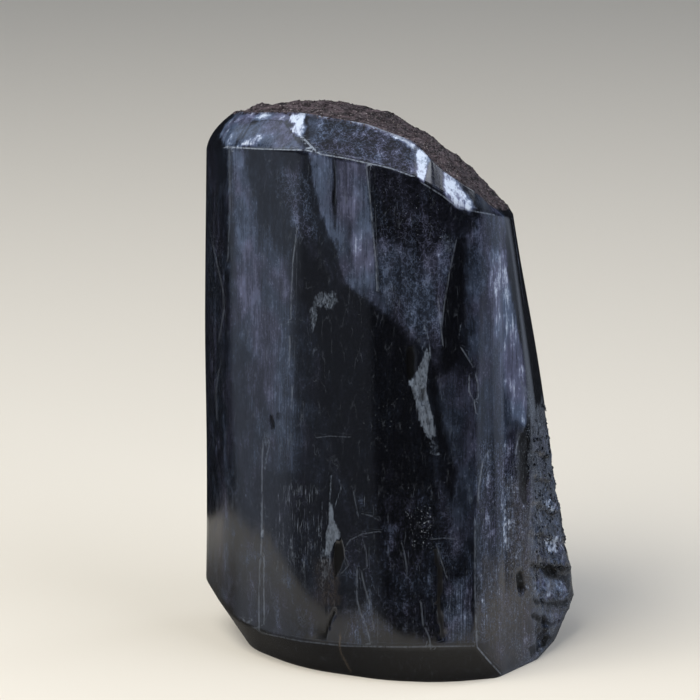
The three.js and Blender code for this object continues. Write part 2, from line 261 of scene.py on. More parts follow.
PATCHES["frost"] = (
    ("blade", 0.74, 0.8, (427, 346), (430, 355), (429, 366), (427, 381), (428, 395), (430, 407), (434, 419),
        (436, 431), (437, 438), (426, 438), (421, 427), (417, 413), (414, 400), (411, 389), (408, 382),
        (415, 375), (419, 365)),
    ("blade, lower step", 0.45, 1.5, (427, 440), (438, 440), (440, 452), (430, 452)),
    ("cloud", 0.56, 2, (312, 308), (314, 296), (322, 291), (336, 290), (339, 301), (334, 310), (328, 312),
        (322, 306), (316, 309)),
    ("cloud streak", 0.6, 1.2, (308, 303), (317, 309), (318, 318), (314, 330), (312, 342), (309, 341),
        (309, 320)),
    ("cloud drop", 0.6, 1.0, (315, 345), (317, 350), (312, 358), (309, 359), (311, 352)),
    ("drip flake", 0.76, 0.8, (329, 502), (333, 503), (334, 518), (341, 534), (340, 539), (334, 543),
        (331, 555), (325, 554), (326, 532), (329, 516)),
    ("frost by the band", 0.45, 2, (441, 234), (454, 233), (457, 247), (450, 257), (442, 250)),
    ("looped frost", 0.4, 4, (376, 281), (398, 284), (404, 306), (392, 312), (380, 300)),
    ("pale ragged flake", 0.5, 1.5, (263, 430), (270, 432), (271, 447), (266, 450), (262, 440)),
    ("pale block", 0.45, 1, (287, 432), (292, 432), (292, 446), (287, 446)),
    ("chips at the right", 0.55, 3, (519, 378), (533, 392), (546, 430), (536, 440), (524, 405)),
    ("grains under the drip", 0.5, 2, (318, 545), (333, 551), (331, 570), (320, 604), (315, 600),
        (315, 560)),
    ("low block frost", 0.3, 4, (446, 585), (470, 575), (474, 640), (448, 642)),
    ("pale edge of the slope", 0.45, 1.5, (474, 520), (480, 522), (481, 640), (475, 642)),
    ("star", 0.9, 0.8, (385, 188), (388, 188), (388, 191), (385, 191)),
)
# pale specks, and on the broken side painted glints
PATCHES["fleck"] = (
    ("specks everywhere", 0.25, 10, (200, 100), (560, 100), (590, 690), (200, 690)),
    ("specks in the black", 0.6, 6, (370, 170), (440, 198), (450, 240), (430, 300), (380, 290)),
    ("specks in the middle", 0.5, 8, (350, 380), (410, 380), (424, 500), (370, 500)),
    ("spray", 1.0, 4, (404, 506), (432, 506), (434, 550), (408, 550)),
    ("specks on the left", 0.8, 6, (206, 190), (220, 172), (224, 250), (219, 300), (225, 370), (215, 440),
        (206, 410), (209, 320), (205, 260)),
    # painted glints on the splinter strip, the slope and the broken foot
    ("specks on the strip", 0.9, 3, (508, 230), (524, 230), (562, 480), (562, 560), (524, 560), (524, 400)),
    ("specks on the slope", 0.9, 5, (498, 470), (545, 480), (545, 600), (505, 600)),
    ("sparkle at the right foot", 1.0, 3, (522, 632), (540, 620), (545, 655), (522, 668)),
)
PATCHES["mottle"] = (
    ("long facet network", 1.0, 2, (318, 118), (366, 123), (392, 134), (412, 148), (413, 176), (385, 167),
        (352, 160), (312, 150)),
    ("network under the black", 0.7, 8, (372, 205), (440, 215), (456, 243), (446, 300), (440, 345),
        (404, 330), (380, 290)),
    ("network of the left facet", 0.5, 3, (205, 150), (226, 150), (224, 440), (205, 480)),
    ("network by the bevel", 0.5, 4, (370, 168), (412, 178), (446, 200), (440, 215), (374, 208)),
    ("network in the wedge", 0.8, 6, (270, 170), (308, 170), (320, 240), (296, 240)),
    ("network at the right", 0.45, 6, (470, 215), (505, 216), (512, 300), (480, 300), (468, 262)),
    ("network of the slope", 0.9, 5, (478, 440), (524, 440), (530, 640), (500, 655), (478, 640)),
    ("network low down", 0.5, 8, (345, 490), (440, 490), (470, 560), (470, 640), (345, 640)),
    ("network low left", 0.35, 10, (215, 480), (320, 480), (320, 640), (240, 620)),
)
PATCHES["broken"] = (
    ("splinters beside the broken side", 0.8, 5, (519, 432), (535, 425), (545, 470), (545, 600), (530, 610),
        (524, 585), (508, 570), (503, 520), (510, 480)),
    ("crumbs at its foot", 0.8, 3, (515, 646), (532, 640), (545, 660), (516, 670)),
)
PATCHES["rust"] = (
    ("brown grains", 0.3, 3, (316, 556), (338, 562), (339, 604), (316, 606)),
    # painted reflection: brown where the slope mirrors the warm floor
    ("brown side of the slope", 0.4, 5, (506, 480), (530, 480), (532, 600), (508, 600)),
    ("brown foot of the slope", 0.4, 8, (485, 560), (530, 560), (531, 655), (500, 670), (485, 640)),
)
PATCHES["dark"] = (
    # painted shade: black in the gaps between slabs, in pits and hollows, the crevice, among the crumbs and
    # in the hole at the foot; they are also sunk a little
    ("gap over the middle slab", 0.9, 0.8, (539, 562), (546, 562), (553, 569), (559, 573), (568, 575),
        (569, 580), (556, 580), (546, 575), (541, 568)),
    ("gap under the middle slab", 0.9, 0.8, (532, 597), (540, 600), (556, 602), (570, 599), (566, 606),
        (550, 606), (534, 603)),
    ("gap in the low slab", 0.9, 0.8, (531, 612), (545, 618), (553, 622), (562, 620), (552, 627),
        (540, 623), (531, 618)),
    ("blade pit", 1.0, 1, (407, 346), (413, 346), (415, 365), (415, 374), (410, 380), (407, 376),
        (405, 360)),
    ("blade hollow", 0.7, 0.8, (421, 389), (424, 389), (424, 400), (421, 401)),
    ("drip shadow", 1.0, 0.8, (335, 543), (341, 542), (345, 560), (340, 569), (336, 575), (333, 560)),
    ("pit in the slope", 1.0, 0.8, (516, 573), (522, 570), (525, 586), (521, 592), (517, 588)),
    ("dark crevice of the slope", 0.75, 2, (518, 434), (526, 428), (528, 470), (525, 505), (519, 500)),
    ("gaps among the crumbs", 0.8, 1, (528, 648), (538, 643), (540, 650), (531, 656)),
    ("hole at the foot", 1.0, 0.8, (541, 640), (545, 635), (552, 639), (549, 646), (541, 647)),
)
PATCHES["streak"] = (
    ("streaks left of the drip", 1.05, 5, (272, 482), (322, 482), (322, 575), (272, 575)),
    ("streaks under the drip", 0.6, 4, (316, 550), (342, 550), (342, 608), (316, 608)),
    ("streaks low in the middle", 0.55, 10, (345, 490), (442, 490), (446, 642), (345, 642)),
    ("streaks of the slope", 0.9, 5, (476, 440), (528, 440), (531, 645), (476, 645)),
    ("streaks of the splinter strip", 1.0, 4, (528, 430), (562, 430), (566, 560), (528, 560)),
    ("streaks in the left silk", 0.4, 12, (230, 300), (322, 300), (322, 600), (230, 600)),
    ("streaks in the black middle", 0.45, 10, (350, 360), (432, 360), (434, 500), (350, 500)),
    ("streaks low right", 0.7, 5, (444, 560), (476, 560), (476, 642), (444, 642)),
    ("streaks in the left facet", 0.5, 3, (204, 170), (224, 170), (224, 500), (204, 500)),
    ("streaks in the right strip", 0.6, 4, (508, 230), (524, 230), (562, 440), (528, 440)),
)

STROKES = {}
STROKES["dark"] = (
    ("thin dark line", 0.6, 1.0, (333, 160), (335, 180), (334, 205)),
    ("low crack", 1.0, 1.6, (334, 613), (331, 620), (328, 627), (325, 639)),
    ("dark flecks", 0.9, 1.2, (271, 417), (273, 427)),
    ("more dark flecks", 0.8, 0.9, (278, 414), (278, 434)),
    ("dark line at the right foot", 0.9, 2.0, (435, 551), (441, 579), (438, 604), (443, 636)),
    ("dark line by the strip", 0.7, 2.6, (526, 440), (523, 470), (526, 500)),
)
STROKES["frost"] = (
    ("drip stem", 0.6, 1.2, (331, 474), (330, 498), (330, 514)),
    ("drip side", 0.6, 0.9, (339, 478), (341, 488), (338, 498), (334, 508)),
    ("drip left side", 0.5, 1.0, (322, 500), (322, 520), (319, 545)),
    ("blade stem", 0.6, 1.2, (423, 323), (426, 331), (429, 340), (430, 350), (430, 358)),
    ("blade branch", 0.6, 1.0, (426, 340), (422, 350), (421, 358)),
    ("blade, first tick", 0.6, 1.0, (432, 441), (439, 446)),
    ("blade, second tick", 0.7, 1.0, (428, 453), (434, 453), (442, 456)),
    ("pit speck", 1.0, 0.9, (410, 362), (410, 368)),
    ("tick on the silk", 0.6, 0.9, (278, 329), (279, 325), (286, 323), (292, 322)),
    ("silk flake", 0.6, 0.9, (294, 422), (297, 419), (299, 414)),
    ("left streak", 0.5, 1.2, (268, 449), (266, 460), (265, 470)),
    ("spot at the left", 0.9, 1.4, (262, 533), (262, 536)),
    ("streak at the left", 0.45, 1.5, (261, 502), (262, 530), (261, 548)),
    ("line on the right field", 0.55, 1.0, (461, 323), (460, 332), (459, 339)),
    ("bluish patch low right", 0.45, 2.2, (468, 484), (470, 494), (471, 504)),
    ("left facet flecks", 0.4, 1.4, (210, 232), (213, 246), (214, 254)),
)
STROKES["rust"] = (
    ("rusty line", 0.9, 0.8, (340, 634), (340, 651), (344, 659), (351, 672)),
)
# hairlines, and pale lines along edges that are painted highlights
STROKES["hair"] = (
    ("wedge line", 1.0, 1.0, (302, 137), (308, 143), (315, 150)),
    # painted highlights along facet edges: the light facet's right edge and the left edge
    ("light facet, right edge", 0.33, 0.8, (366, 164), (370, 198), (373, 232), (376, 262), (377, 290)),
    ("dividing line", 0.3, 0.7, (297, 228), (293, 260), (291, 300), (291, 318)),
    ("dividing line, lower", 0.3, 0.8, (289, 326), (290, 345), (289, 366)),
    ("dividing line, foot", 0.3, 0.8, (291, 388), (292, 400), (292, 410)),
    ("left edge", 0.16, 0.9, (229, 148), (230, 200), (228, 260)),
    ("left facet line", 0.2, 0.8, (213, 245), (218, 268), (223, 290), (224, 310), (219, 340)),
    ("line under the left facet line", 0.15, 0.8, (219, 370), (216, 390), (217, 420)),
    ("bevel hairline", -0.8, 0.8, (242, 139), (252, 122), (268, 120), (283, 121), (290, 130), (303, 148)),
    # painted highlights along the brow, the upper left bevel and the shoulder
    ("brow line", 1.0, 0.8, (300, 112), (319, 112), (344, 117), (366, 124), (388, 132), (405, 141),
        (413, 148)),
    ("upper brow line", 0.6, 0.7, (348, 114), (370, 120), (388, 127), (406, 137), (417, 144)),
    ("upper left brow", 0.5, 0.8, (237, 111), (262, 108), (290, 111)),
    ("shoulder line, left", 1.0, 0.7, (226, 147), (262, 149), (305, 150), (320, 153)),
    ("shoulder line, middle", 0.7, 0.7, (320, 154), (344, 158), (367, 163), (390, 168), (412, 176)),
    ("shoulder line, right", 0.5, 0.7, (424, 184), (443, 196), (458, 208), (478, 212), (495, 215)),
    ("black band's edge", 0.2, 0.8, (456, 241), (450, 270), (445, 300), (441, 330)),
    ("short line", 0.25, 0.8, (438, 298), (440, 320), (443, 345)),
    ("curve", 0.35, 0.7, (462, 349), (467, 357), (472, 365)),
    ("loop", 0.42, 0.7, (469, 377), (469, 391), (474, 401), (478, 399), (478, 384), (476, 376)),
    ("loop's foot", 0.45, 0.7, (474, 402), (476, 412)),
    ("long curve", 0.55, 0.8, (488, 452), (483, 461), (481, 473), (479, 487), (478, 500)),
    ("edge of the right field", 0.6, 0.8, (520, 436), (517, 446), (516, 454)),
    ("fan one", 0.15, 0.7, (353, 490), (356, 505), (358, 516)),
    ("fan two", 0.14, 0.7, (364, 514), (372, 516), (379, 521)),
    ("fan three", 0.16, 0.7, (344, 549), (350, 540), (362, 534), (381, 531)),
    ("fan four", 0.14, 0.7, (342, 540), (344, 554), (349, 565), (342, 573)),
    ("fan five", 0.16, 0.8, (363, 540), (366, 552), (367, 566)),
    ("low curve", 0.22, 0.8, (357, 568), (357, 600), (360, 612), (366, 626), (371, 644)),
    ("low curve's twin", 0.2, 0.8, (361, 571), (365, 588), (372, 612), (375, 644)),
    ("low line", 0.17, 0.8, (402, 543), (405, 556), (407, 570)),
    ("right low line", 0.22, 0.8, (437, 546), (441, 560), (447, 578)),
    ("pale cracks", 0.2, 0.9, (421, 603), (423, 624), (429, 636), (431, 648)),
    ("pale crack two", 0.2, 0.7, (437, 612), (440, 626), (443, 640)),
    ("level line", 0.15, 0.7, (433, 539), (445, 538), (456, 539)),
    ("level hairline", 0.14, 0.6, (314, 438), (330, 436), (348, 437)),
    ("left tall streak", 0.25, 0.8, (263, 440), (262, 470), (262, 510), (261, 556)),
    ("left low streak", 0.26, 0.9, (264, 556), (264, 590), (264, 624)),
    ("left low streak two", 0.22, 0.9, (260, 560), (259, 600), (259, 630)),
    ("base bevel edge", 0.22, 0.8, (240, 618), (262, 633), (300, 641), (345, 646), (400, 647), (475, 646)),
    ("slope edge", 0.31, 0.9, (475, 520), (475, 560), (475, 600), (477, 645)),
    ("foot edge of the slope", 0.5, 0.8, (478, 648), (488, 660), (500, 673)),
)


def smooth(low, high, value):
    t = np.clip((value - low) / (high - low), 0, 1)
    return t * t * (3 - 2 * t)


def lattice_noise(points, cell, seed):
    """Smooth noise from 0 to 1 at each point, with bumps one cell long on each axis, in mm."""
    rng = np.random.default_rng(seed)
    turn = rng.permutation(256)
    values = rng.random(256)
    q = points / np.asarray(cell, float)
    base = np.floor(q).astype(int)
    t = q - base
    t = t * t * (3 - 2 * t)
    total = np.zeros(len(points))
    for corner in range(8):
        step = np.array([corner & 1, corner >> 1 & 1, corner >> 2 & 1])
        i, j, k = ((base + step) & 255).T
        weight = np.prod(np.where(step == 1, t, 1 - t), axis=1)
        total += weight * values[turn[(turn[(turn[i] + j) & 255] + k) & 255]]
    return total


def layered(points, layers):
    """Noises added up, each with its weight, its cell in mm and its seed."""
    return sum(weight * lattice_noise(points, cell, seed) for weight, cell, seed in layers)


def dome_height(x, y):
    """Height of the natural top before its lumps."""
    dx, dy = x - CREST[0], y - CREST[1]
    fall = np.where(dx > 0, FALL_RIGHT, FALL_LEFT)
    return HEIGHT - fall * dx**2 - FALL_DEPTH * dy**2


def crust_lumps(x, y):
    """Low waves of the natural top, between about -1 and 1."""
    return (
        0.45 * np.sin(0.83 * x + 0.41 * y + 0.6) * np.sin(0.57 * y - 0.22 * x)
        + 0.35 * np.sin(1.31 * x - 0.74 * y + 2.1)
        + 0.30 * np.sin(0.37 * x + 1.19 * y + 4.0)
    )


def broken_across(x, y):
    """1 over the broken side, falling steeply to 0 at its front and back edges."""
    off = np.minimum(np.abs(y - BROKEN_MIDDLE) / BROKEN_HALF, 1)
    return np.where(x > BROKEN_FROM, 1 - off**BROKEN_EDGE, 0)


def inset(x, y, z):
    """How far the surface lies inside the ground outline, in mm."""
    place = np.stack([x, y, z], axis=1)
    across = broken_across(x, y + EDGE_WOBBLE * (lattice_noise(place, *EDGE_BUMPS) - 0.5))
    ragged = LIP_RAGGED * (lattice_noise(place, *LIP_BUMPS) - 0.5) * smooth(LIPS[0], 6, z)
    height = z - LIP_SLANT * (y - BROKEN_MIDDLE) + ragged * (across > 0)
    depth = np.zeros_like(x)
    under = 0
    for low, high, cut in zip(LIPS, LIPS[1:], LIP_DEPTHS):
        inside = (height >= low) & (height < high)
        slab = cut * (height - low) / (high - low) + under * np.maximum(0, 1 - (height - low) / LIP_STEP)
        depth += np.where(inside, across * slab, 0)
        under = cut
    for centre, radius, pit_depth in PITS:
        away = np.linalg.norm(place - centre, axis=1)
        depth += pit_depth * smooth(radius, 0, away)
    back = smooth(RIBS_START[0], RIBS_FULL[0], y) * smooth(RIBS_START[1], RIBS_FULL[1], z)
    depth += back * RIB_DEPTH * (1 + np.sin(2 * math.pi * x / RIB_PITCH + 0.7 * np.sin(z / 17)))
    wave = np.sin(0.34 * x + 0.21 * y + 0.9 * np.sin(z / 13)) * np.cos(z / 9.5 + 0.2 * x)
    return depth + WAVE_DEPTH * wave


def fine_relief(p):
    """Small relief that only the dressed stone has, in mm inwards."""
    x, y, z = p.T
    fibres, rubble, crumbs, splinters = (lattice_noise(p, *bumps) - 0.5 for bumps in FINE_BUMPS)
    broken = broken_across(x, y) * smooth(LIPS[-1], LIPS[-1] - 3, z)
    strip = broken_across(x, y) * smooth(SPLINTERS_TOP, SPLINTERS_TOP - 3, z) * smooth(LIPS[2], LIPS[4], z)
    depth = broken * (BROKEN_LOSS + RUBBLE_DEPTH * rubble + CRUMB_DEPTH * crumbs)
    depth += strip * (STRIP_LOSS + SPLINTER_DEPTH * splinters)
    up = z / EDGE_HEIGHT
    edge = EDGE_FOOT + (EDGE_HEAD - EDGE_FOOT) * up[:, None]
    nicks = smooth(0.42, 0.75, lattice_noise(p, *NICK_BUMPS)) * smooth(SPLINTERS_TOP, SPLINTERS_TOP - 8, z)
    depth += NICK_DEPTH * nicks * smooth(NICK_REACH, 0, np.hypot(x - edge[:, 0], y - edge[:, 1]))
    return depth + FIBRE_DEPTH * fibres * smooth(8, 14, y)


def strips_after(i):
    """How many mesh strips run from one post's corner to the next."""
    here, after = POSTS[i], POSTS[(i + 1) % len(POSTS)]
    return max(3, round(math.dist(here.heel, after.heel) / here.strip))


def level_ring(level, softness):
    """A closed ring through one level's corners, each rounded by a quadratic curve."""
    corners = np.array([(*getattr(post, level), 0)[:3] for post in POSTS], float)
    total = len(corners)
    after = np.linalg.norm(np.roll(corners, -1, axis=0) - corners, axis=1)
    soft = [getattr(post, softness) for post in POSTS]
    reach = [min(soft[i], 0.45 * after[i - 1], 0.45 * after[i]) for i in range(total)]
    ring = []
    for i in range(total):
        corner, previous, following = corners[i], corners[i - 1], corners[(i + 1) % total]
        start = corner + (previous - corner) * reach[i] / after[i - 1]
        end = corner + (following - corner) * reach[i] / after[i]
        for t in np.linspace(0, 1, CORNER_STRIPS + 1):
            ring.append((1 - t) ** 2 * start + 2 * t * (1 - t) * corner + t * t * end)
        next_start = following + (corner - following) * reach[(i + 1) % total] / after[i]
        strips = strips_after(i)
        for k in range(1, strips):
            ring.append(end + (next_start - end) * k / strips)
    return np.array(ring)


def ring_bow():
    """How far the body swells at each ring point."""
    values = []
    for i, post in enumerate(POSTS):
        following = POSTS[(i + 1) % len(POSTS)]
        strips = strips_after(i)
        values += [post.bow] * (CORNER_STRIPS + 1)
        values += [post.bow + (following.bow - post.bow) * k / strips for k in range(1, strips)]
    return np.array(values)


def outward(ring):
    """Unit vectors square to a ring, sideways and out."""
    along = np.roll(ring, -1, axis=0) - np.roll(ring, 1, axis=0)
    out = np.stack([along[:, 1], -along[:, 0], np.zeros(len(ring))], axis=1)
    return out / np.linalg.norm(out, axis=1, keepdims=True)


def relieved(ring, share):
    """A ring moved in by the relief and by what the polish took."""
    depth = share * (inset(*ring.T) + fine_relief(ring)) + POLISH_LOSS
    return ring - outward(ring) * depth[:, None]


def body_rings():
    """Rings up the stone from the foot to the brow."""
    foot, heel = level_ring("foot", "low"), level_ring("heel", "low")
    shoulder, brow = level_ring("shoulder", "high"), level_ring("brow", "high")
    bow = ring_bow()
    rings = [relieved(foot, 0)]
    for t in np.linspace(0, 1, BEVEL_ROWS + 1)[1:-1]:
        rings.append(relieved(foot + (heel - foot) * t, t))
    for t in np.linspace(0, 1, BODY_ROWS + 1):
        ring = heel + (shoulder - heel) * t
        swell = 1 + 4 * bow * t * (1 - t) / np.hypot(ring[:, 0], ring[:, 1])
        ring[:, :2] *= swell[:, None]
        rings.append(relieved(ring, 1))
    for t in np.linspace(0, 1, BEVEL_ROWS + 1)[1:]:
        flat = relieved(shoulder + (brow - shoulder) * t, 1 - t)
        bulge = 4 * BULGE * t * (1 - t) * smooth(BULGE_START, BULGE_FULL, flat[:, 0])
        rings.append(flat + outward(flat) * bulge[:, None])
    return rings


def crust_rings(brow):
    """Rings that close in from the brow over the natural top."""
    rings = []
    for share in np.linspace(0, LAST_RING, CRUST_RINGS + 1)[1:]:
        x = brow[:, 0] + (CREST[0] + SPINE_SHARE * (brow[:, 0] - CREST[0]) - brow[:, 0]) * share
        y = brow[:, 1] + (CREST[1] - brow[:, 1]) * share
        edge = brow[:, 2] - dome_height(brow[:, 0], brow[:, 1])
        lumps = CRUST_LUMP * crust_lumps(x, y) * smooth(0, 0.25, share)
        flat = np.stack([x, y, np.zeros_like(x)], axis=1)
        terraces = layered(flat, TERRACES) - TERRACE_MEAN
        z = dome_height(x, y) + edge * (1 - share) ** 2 + lumps
        z += (TERRACE_RISE * terraces - CRUST_LOSS) * smooth(0, 0.08, share)
        rings.append(np.stack([x, y, z], axis=1))
    return rings


def ridge_faces(ring, first):
    """Triangles that close the long thin last ring, front side to back side."""
    around = len(ring)
    left, right = int(np.argmin(ring[:, 0])), int(np.argmax(ring[:, 0]))
    front = back = left
    faces = []
    while front != right or back != right:
        ahead, behind = (front + 1) % around, (back - 1) % around
        if back == right or (front != right and ring[ahead, 0] < ring[behind, 0]):
            faces.append((first + front, first + ahead, first + back))
            front = ahead
        else:
            faces.append((first + back, first + front, first + behind))
            back = behind
    return faces


# Camera, as it stood for the photograph

PICTURE = 700
CAMERA_DISTANCE = 0.420
CAMERA_ELEVATION = 14.0
CAMERA_AIM = Vector((-5.94, 2.23, 43.3)) * MM
CAMERA_LENS = 150.4
SENSOR = 36


def direction(azimuth, elevation):
    """Unit vector; azimuth is 0 towards the front and grows to the right, in degrees."""
    a, e = math.radians(azimuth), math.radians(elevation)
    return Vector((math.sin(a) * math.cos(e), -math.cos(a) * math.cos(e), math.sin(e)))


def pixels_seen(points):
    """Where points in metres fall in the photograph."""
    towards = direction(0, CAMERA_ELEVATION)
    tilt = math.radians(CAMERA_ELEVATION)
    up = Vector((0, math.sin(tilt), math.cos(tilt)))
    eye = CAMERA_AIM + towards * CAMERA_DISTANCE
    away = points - np.array(eye)
    depth = -(away @ np.array(towards))
    focal = CAMERA_LENS / SENSOR * PICTURE
    right, rise = away[:, 0], away @ np.array(up)
    return np.stack([PICTURE / 2 + focal * right / depth, PICTURE / 2 - focal * rise / depth], axis=1)


# Drawing marks on flat coordinates, in pixels of the photograph or the like


FAR = 1e9
HAIR_REACH = 4.5  # how far beside a hairline its distance is kept, in pixels
STROKE_EDGE = 0.8
KINDS = ("tone", "frost", "dark", "rust", "fleck", "mottle", "streak", "broken", "hair_side", "hair_power")
NO_HAIR = 20.0
RAGGED, RAGGED_MEAN = ((1, (0.5, 0.5, 1.1), 31), (0.6, (0.25, 0.25, 0.5), 32)), 0.8
SILK = ((0.6, (4.5, 4.5, 30), 33), (0.4, (1.8, 1.8, 16), 34))
HIDDEN_STREAKS, HIDDEN_MOTTLES = ((1, (3, 3, 14), 36),), ((1, (5, 5, 12), 35),)
HIDDEN_FLAKES = 34
FLAKE_CORNERS = ((0, 0), (1, 0.25), (1.1, 0.7), (0.4, 1), (-0.1, 0.6))
FLAKE_WIDTHS, FLAKE_HEIGHTS, FLAKE_AMOUNTS = (2, 7), (6, 26), (0.3, 0.9)
FLAKE_SOFT = 1.5


def to_segment(here, a, b):
    """Distance from each place to a segment, and on which side of it each lies."""
    a, b = np.array(a, float), np.array(b, float)
    along = b - a
    t = np.clip((here - a) @ along / (along @ along), 0, 1)
    off = here - a - t[:, None] * along
    side = np.where(along[0] * off[:, 1] - along[1] * off[:, 0] < 0, -1, 1)
    return np.linalg.norm(off, axis=1), side


def patch_share(here, outline, soft, ragged):
    """1 inside a closed outline, 0 outside, over its soft and ragged edge."""
    distance = np.full(len(here), FAR)
    inside = np.zeros(len(here), bool)
    for a, b in zip(outline, outline[1:] + outline[:1]):
        distance = np.minimum(distance, to_segment(here, a, b)[0])
        crosses = (a[1] > here[:, 1]) != (b[1] > here[:, 1])
        if a[1] != b[1]:
            inside ^= crosses & (here[:, 0] < (b[0] - a[0]) * (here[:, 1] - a[1]) / (b[1] - a[1]) + a[0])
    signed = np.where(inside, -distance, distance)
    return smooth(soft, -soft, signed + ragged * (1 + soft))


def near(here, pixels, margin):
    """Which places lie in the box round some pixels."""
    low, high = np.min(pixels, axis=0) - margin, np.max(pixels, axis=0) + margin
    return np.where(np.all((here > low) & (here < high), axis=1))[0]


def draw_hair(values, here, facing, amount, half, line):
    """Keep the distance to a fine line, from which the finish draws it finer than the mesh."""
    some = near(here, line, HAIR_REACH)
    distance = np.full(len(some), FAR)
    side = np.ones(len(some))
    for a, b in zip(line, line[1:]):
        d, s = to_segment(here[some], a, b)
        side = np.where(d < distance, s, side)
        distance = np.minimum(distance, d)
    power = amount * smooth(HAIR_REACH, HAIR_REACH * 0.6, distance) * facing[some]
    wins = (distance / half < np.abs(values["hair_side"][some])) & (np.abs(power) > 0)
    chosen = some[wins]
    values["hair_side"][chosen] = (side * distance / half)[wins]
    values["hair_power"][chosen] = power[wins]


def draw_stroke(mark, here, facing, ragged, amount, half, line):
    """Raise a mark along an open line."""
    some = near(here, line, 3 * half + 2)
    distance = np.min([to_segment(here[some], a, b)[0] for a, b in zip(line, line[1:])], axis=0)
    share = smooth(half + STROKE_EDGE, half - STROKE_EDGE, distance + ragged[some] * half)
    mark[some] = np.maximum(mark[some], amount * share * facing[some])


def draw_patch(mark, here, facing, ragged, amount, soft, outline, over):
    """Fill a closed outline: lay the amount over what is there, or only raise it."""
    some = near(here, outline, 2 * soft + 2)
    share = patch_share(here[some], outline, soft, ragged[some]) * facing[some]
    if over:
        mark[some] += (amount - mark[some]) * share
    else:
        mark[some] = np.maximum(mark[some], amount * share)


def surface_marks(points, facing, girth, seed):
    """Attribute values for the finish, from points in mm, how much each faces the camera and its
    distance round the stone."""
    rng = np.random.default_rng(seed)
    values = {kind: np.zeros(len(points)) for kind in KINDS}
    hidden = 1 - facing
    ragged = layered(points, RAGGED) - RAGGED_MEAN
    values["hair_side"] += NO_HAIR
    values["tone"] = 0.06 + 0.5 * smooth(0.35, 0.75, layered(points, SILK))
    values["fleck"] += 0.3 * hidden
    values["streak"] += 0.2
    values["streak"] += 0.5 * smooth(0.45, 0.7, layered(points, HIDDEN_STREAKS)) * hidden
    values["mottle"] = smooth(0.5, 0.75, layered(points, HIDDEN_MOTTLES)) * hidden

    unrolled = np.stack([girth, points[:, 2]], axis=1) * PIXELS_PER_MM
    low, high = unrolled.min(axis=0), unrolled.max(axis=0)
    for _ in range(HIDDEN_FLAKES):
        x, y = rng.uniform(low, high)
        wide, tall = rng.uniform(*FLAKE_WIDTHS), rng.uniform(*FLAKE_HEIGHTS)
        corners = [(x + wide * a + rng.normal(0, 1), y + tall * b) for a, b in FLAKE_CORNERS]
        amount = rng.uniform(*FLAKE_AMOUNTS)
        draw_patch(values["frost"], unrolled, hidden, ragged, amount, FLAKE_SOFT, corners, False)

    seen = pixels_seen(points * MM)
    for kind, patches in PATCHES.items():
        for _, amount, soft, *outline in patches:
            draw_patch(values[kind], seen, facing, ragged, amount, soft, outline, kind == "tone")
    for kind, strokes in STROKES.items():
        for _, amount, half, *line in strokes:
            if kind == "hair":
                draw_hair(values, seen, facing, amount, half, line)
            else:
                draw_stroke(values[kind], seen, facing, ragged, amount, half, line)
    return values


CHIPS_END = 26.2  # chips further out, or lower down, would leave the box of the solid
CHIPS_RISE = (10, 15)
FACING = (0.02, 0.10)  # cosines between which marks in the front fade out at the stone's rim
PIT_DEPTH = 0.22  # how far dark cracks and pits are sunk, in mm
FLAKE_DEPTH = 0.02


def stone_mesh(seed):
    """The whole stone as a mesh, with its finish attributes."""
    body = body_rings()
    rings = body + crust_rings(body[-1])
    around = len(rings[0])
    points = np.concatenate(rings)
    points[:, :2] -= MIDDLE
    first = np.arange(len(rings) - 1)[:, None] * around
    lower, lower_next = first + np.arange(around), first + np.roll(np.arange(around), -1)
    quads = np.stack([lower, lower_next, lower_next + around, lower + around], axis=2)
    faces = [tuple(q) for q in quads.reshape(-1, 4).tolist()]
    faces += ridge_faces(rings[-1], (len(rings) - 1) * around)
    faces.append(tuple(range(around - 1, -1, -1)))
    mesh = bpy.data.meshes.new("polished_stone")
    mesh.from_pydata((points * MM).tolist(), [], faces)
    normals = np.zeros(len(points) * 3, np.float32)
    mesh.vertex_normals.foreach_get("vector", normals)
    normals = normals.reshape(-1, 3)
    eye = np.array(CAMERA_AIM + direction(0, CAMERA_ELEVATION) * CAMERA_DISTANCE)
    away = eye - points * MM
    away /= np.linalg.norm(away, axis=1, keepdims=True)
    facing = smooth(*FACING, np.sum(normals * away, axis=1))

    heel = rings[BEVEL_ROWS]
    girth = np.concatenate([[0], np.cumsum(np.linalg.norm(np.diff(heel, axis=0), axis=1))])
    values = surface_marks(points, facing, np.tile(girth, len(rings)), seed)
    sunk = PIT_DEPTH * values["dark"] + FLAKE_DEPTH * values["frost"]
    inner = points - normals * sunk[:, None]
    inner[:, 2] = np.maximum(inner[:, 2], 0)
    mesh.vertices.foreach_set("co", (inner * MM).ravel())

    ring_number = np.repeat(np.arange(len(rings)), around)
    values["crust"] = smooth(-0.6, 0.6, ring_number - (len(body) - 1))
    x, y, z = points.T
    across = broken_across(x + MIDDLE[0], y + MIDDLE[1])
    side = across * smooth(SPLINTERS_TOP, SPLINTERS_TOP - 4, z)
    values["broken"] = np.maximum(values["broken"], side)
    values["chips"] = side * smooth(*CHIPS_RISE, z) * smooth(CHIPS_END, CHIPS_END - 1, x)
    for name, value in values.items():
        layer = mesh.attributes.new(name, "FLOAT", "POINT")
        layer.data.foreach_set("value", np.asarray(value, np.float32))
    mesh.shade_smooth()
    mesh.update()
    return mesh


# Nodes and finishes


def add_node(tree, kind, inputs=(), **settings):
    """Add one node with its settings, and set or link its inputs, by name or in the order of those
    in use. A node given as a source stands for the first of its outputs in use."""
    node = tree.nodes.new(kind)
    for key, value in settings.items():
        setattr(node, key, value)
    named = inputs if isinstance(inputs, dict) else dict(enumerate(inputs))
    in_use = [socket for socket in node.inputs if socket.enabled]
    for place, source in named.items():
        socket = in_use[place] if isinstance(place, int) else node.inputs[place]
        if isinstance(source, bpy.types.Node):
            source = next(output for output in source.outputs if output.enabled)
        if isinstance(source, bpy.types.NodeSocket):
            tree.links.new(source, socket)
        else:
            socket.default_value = source
    return node


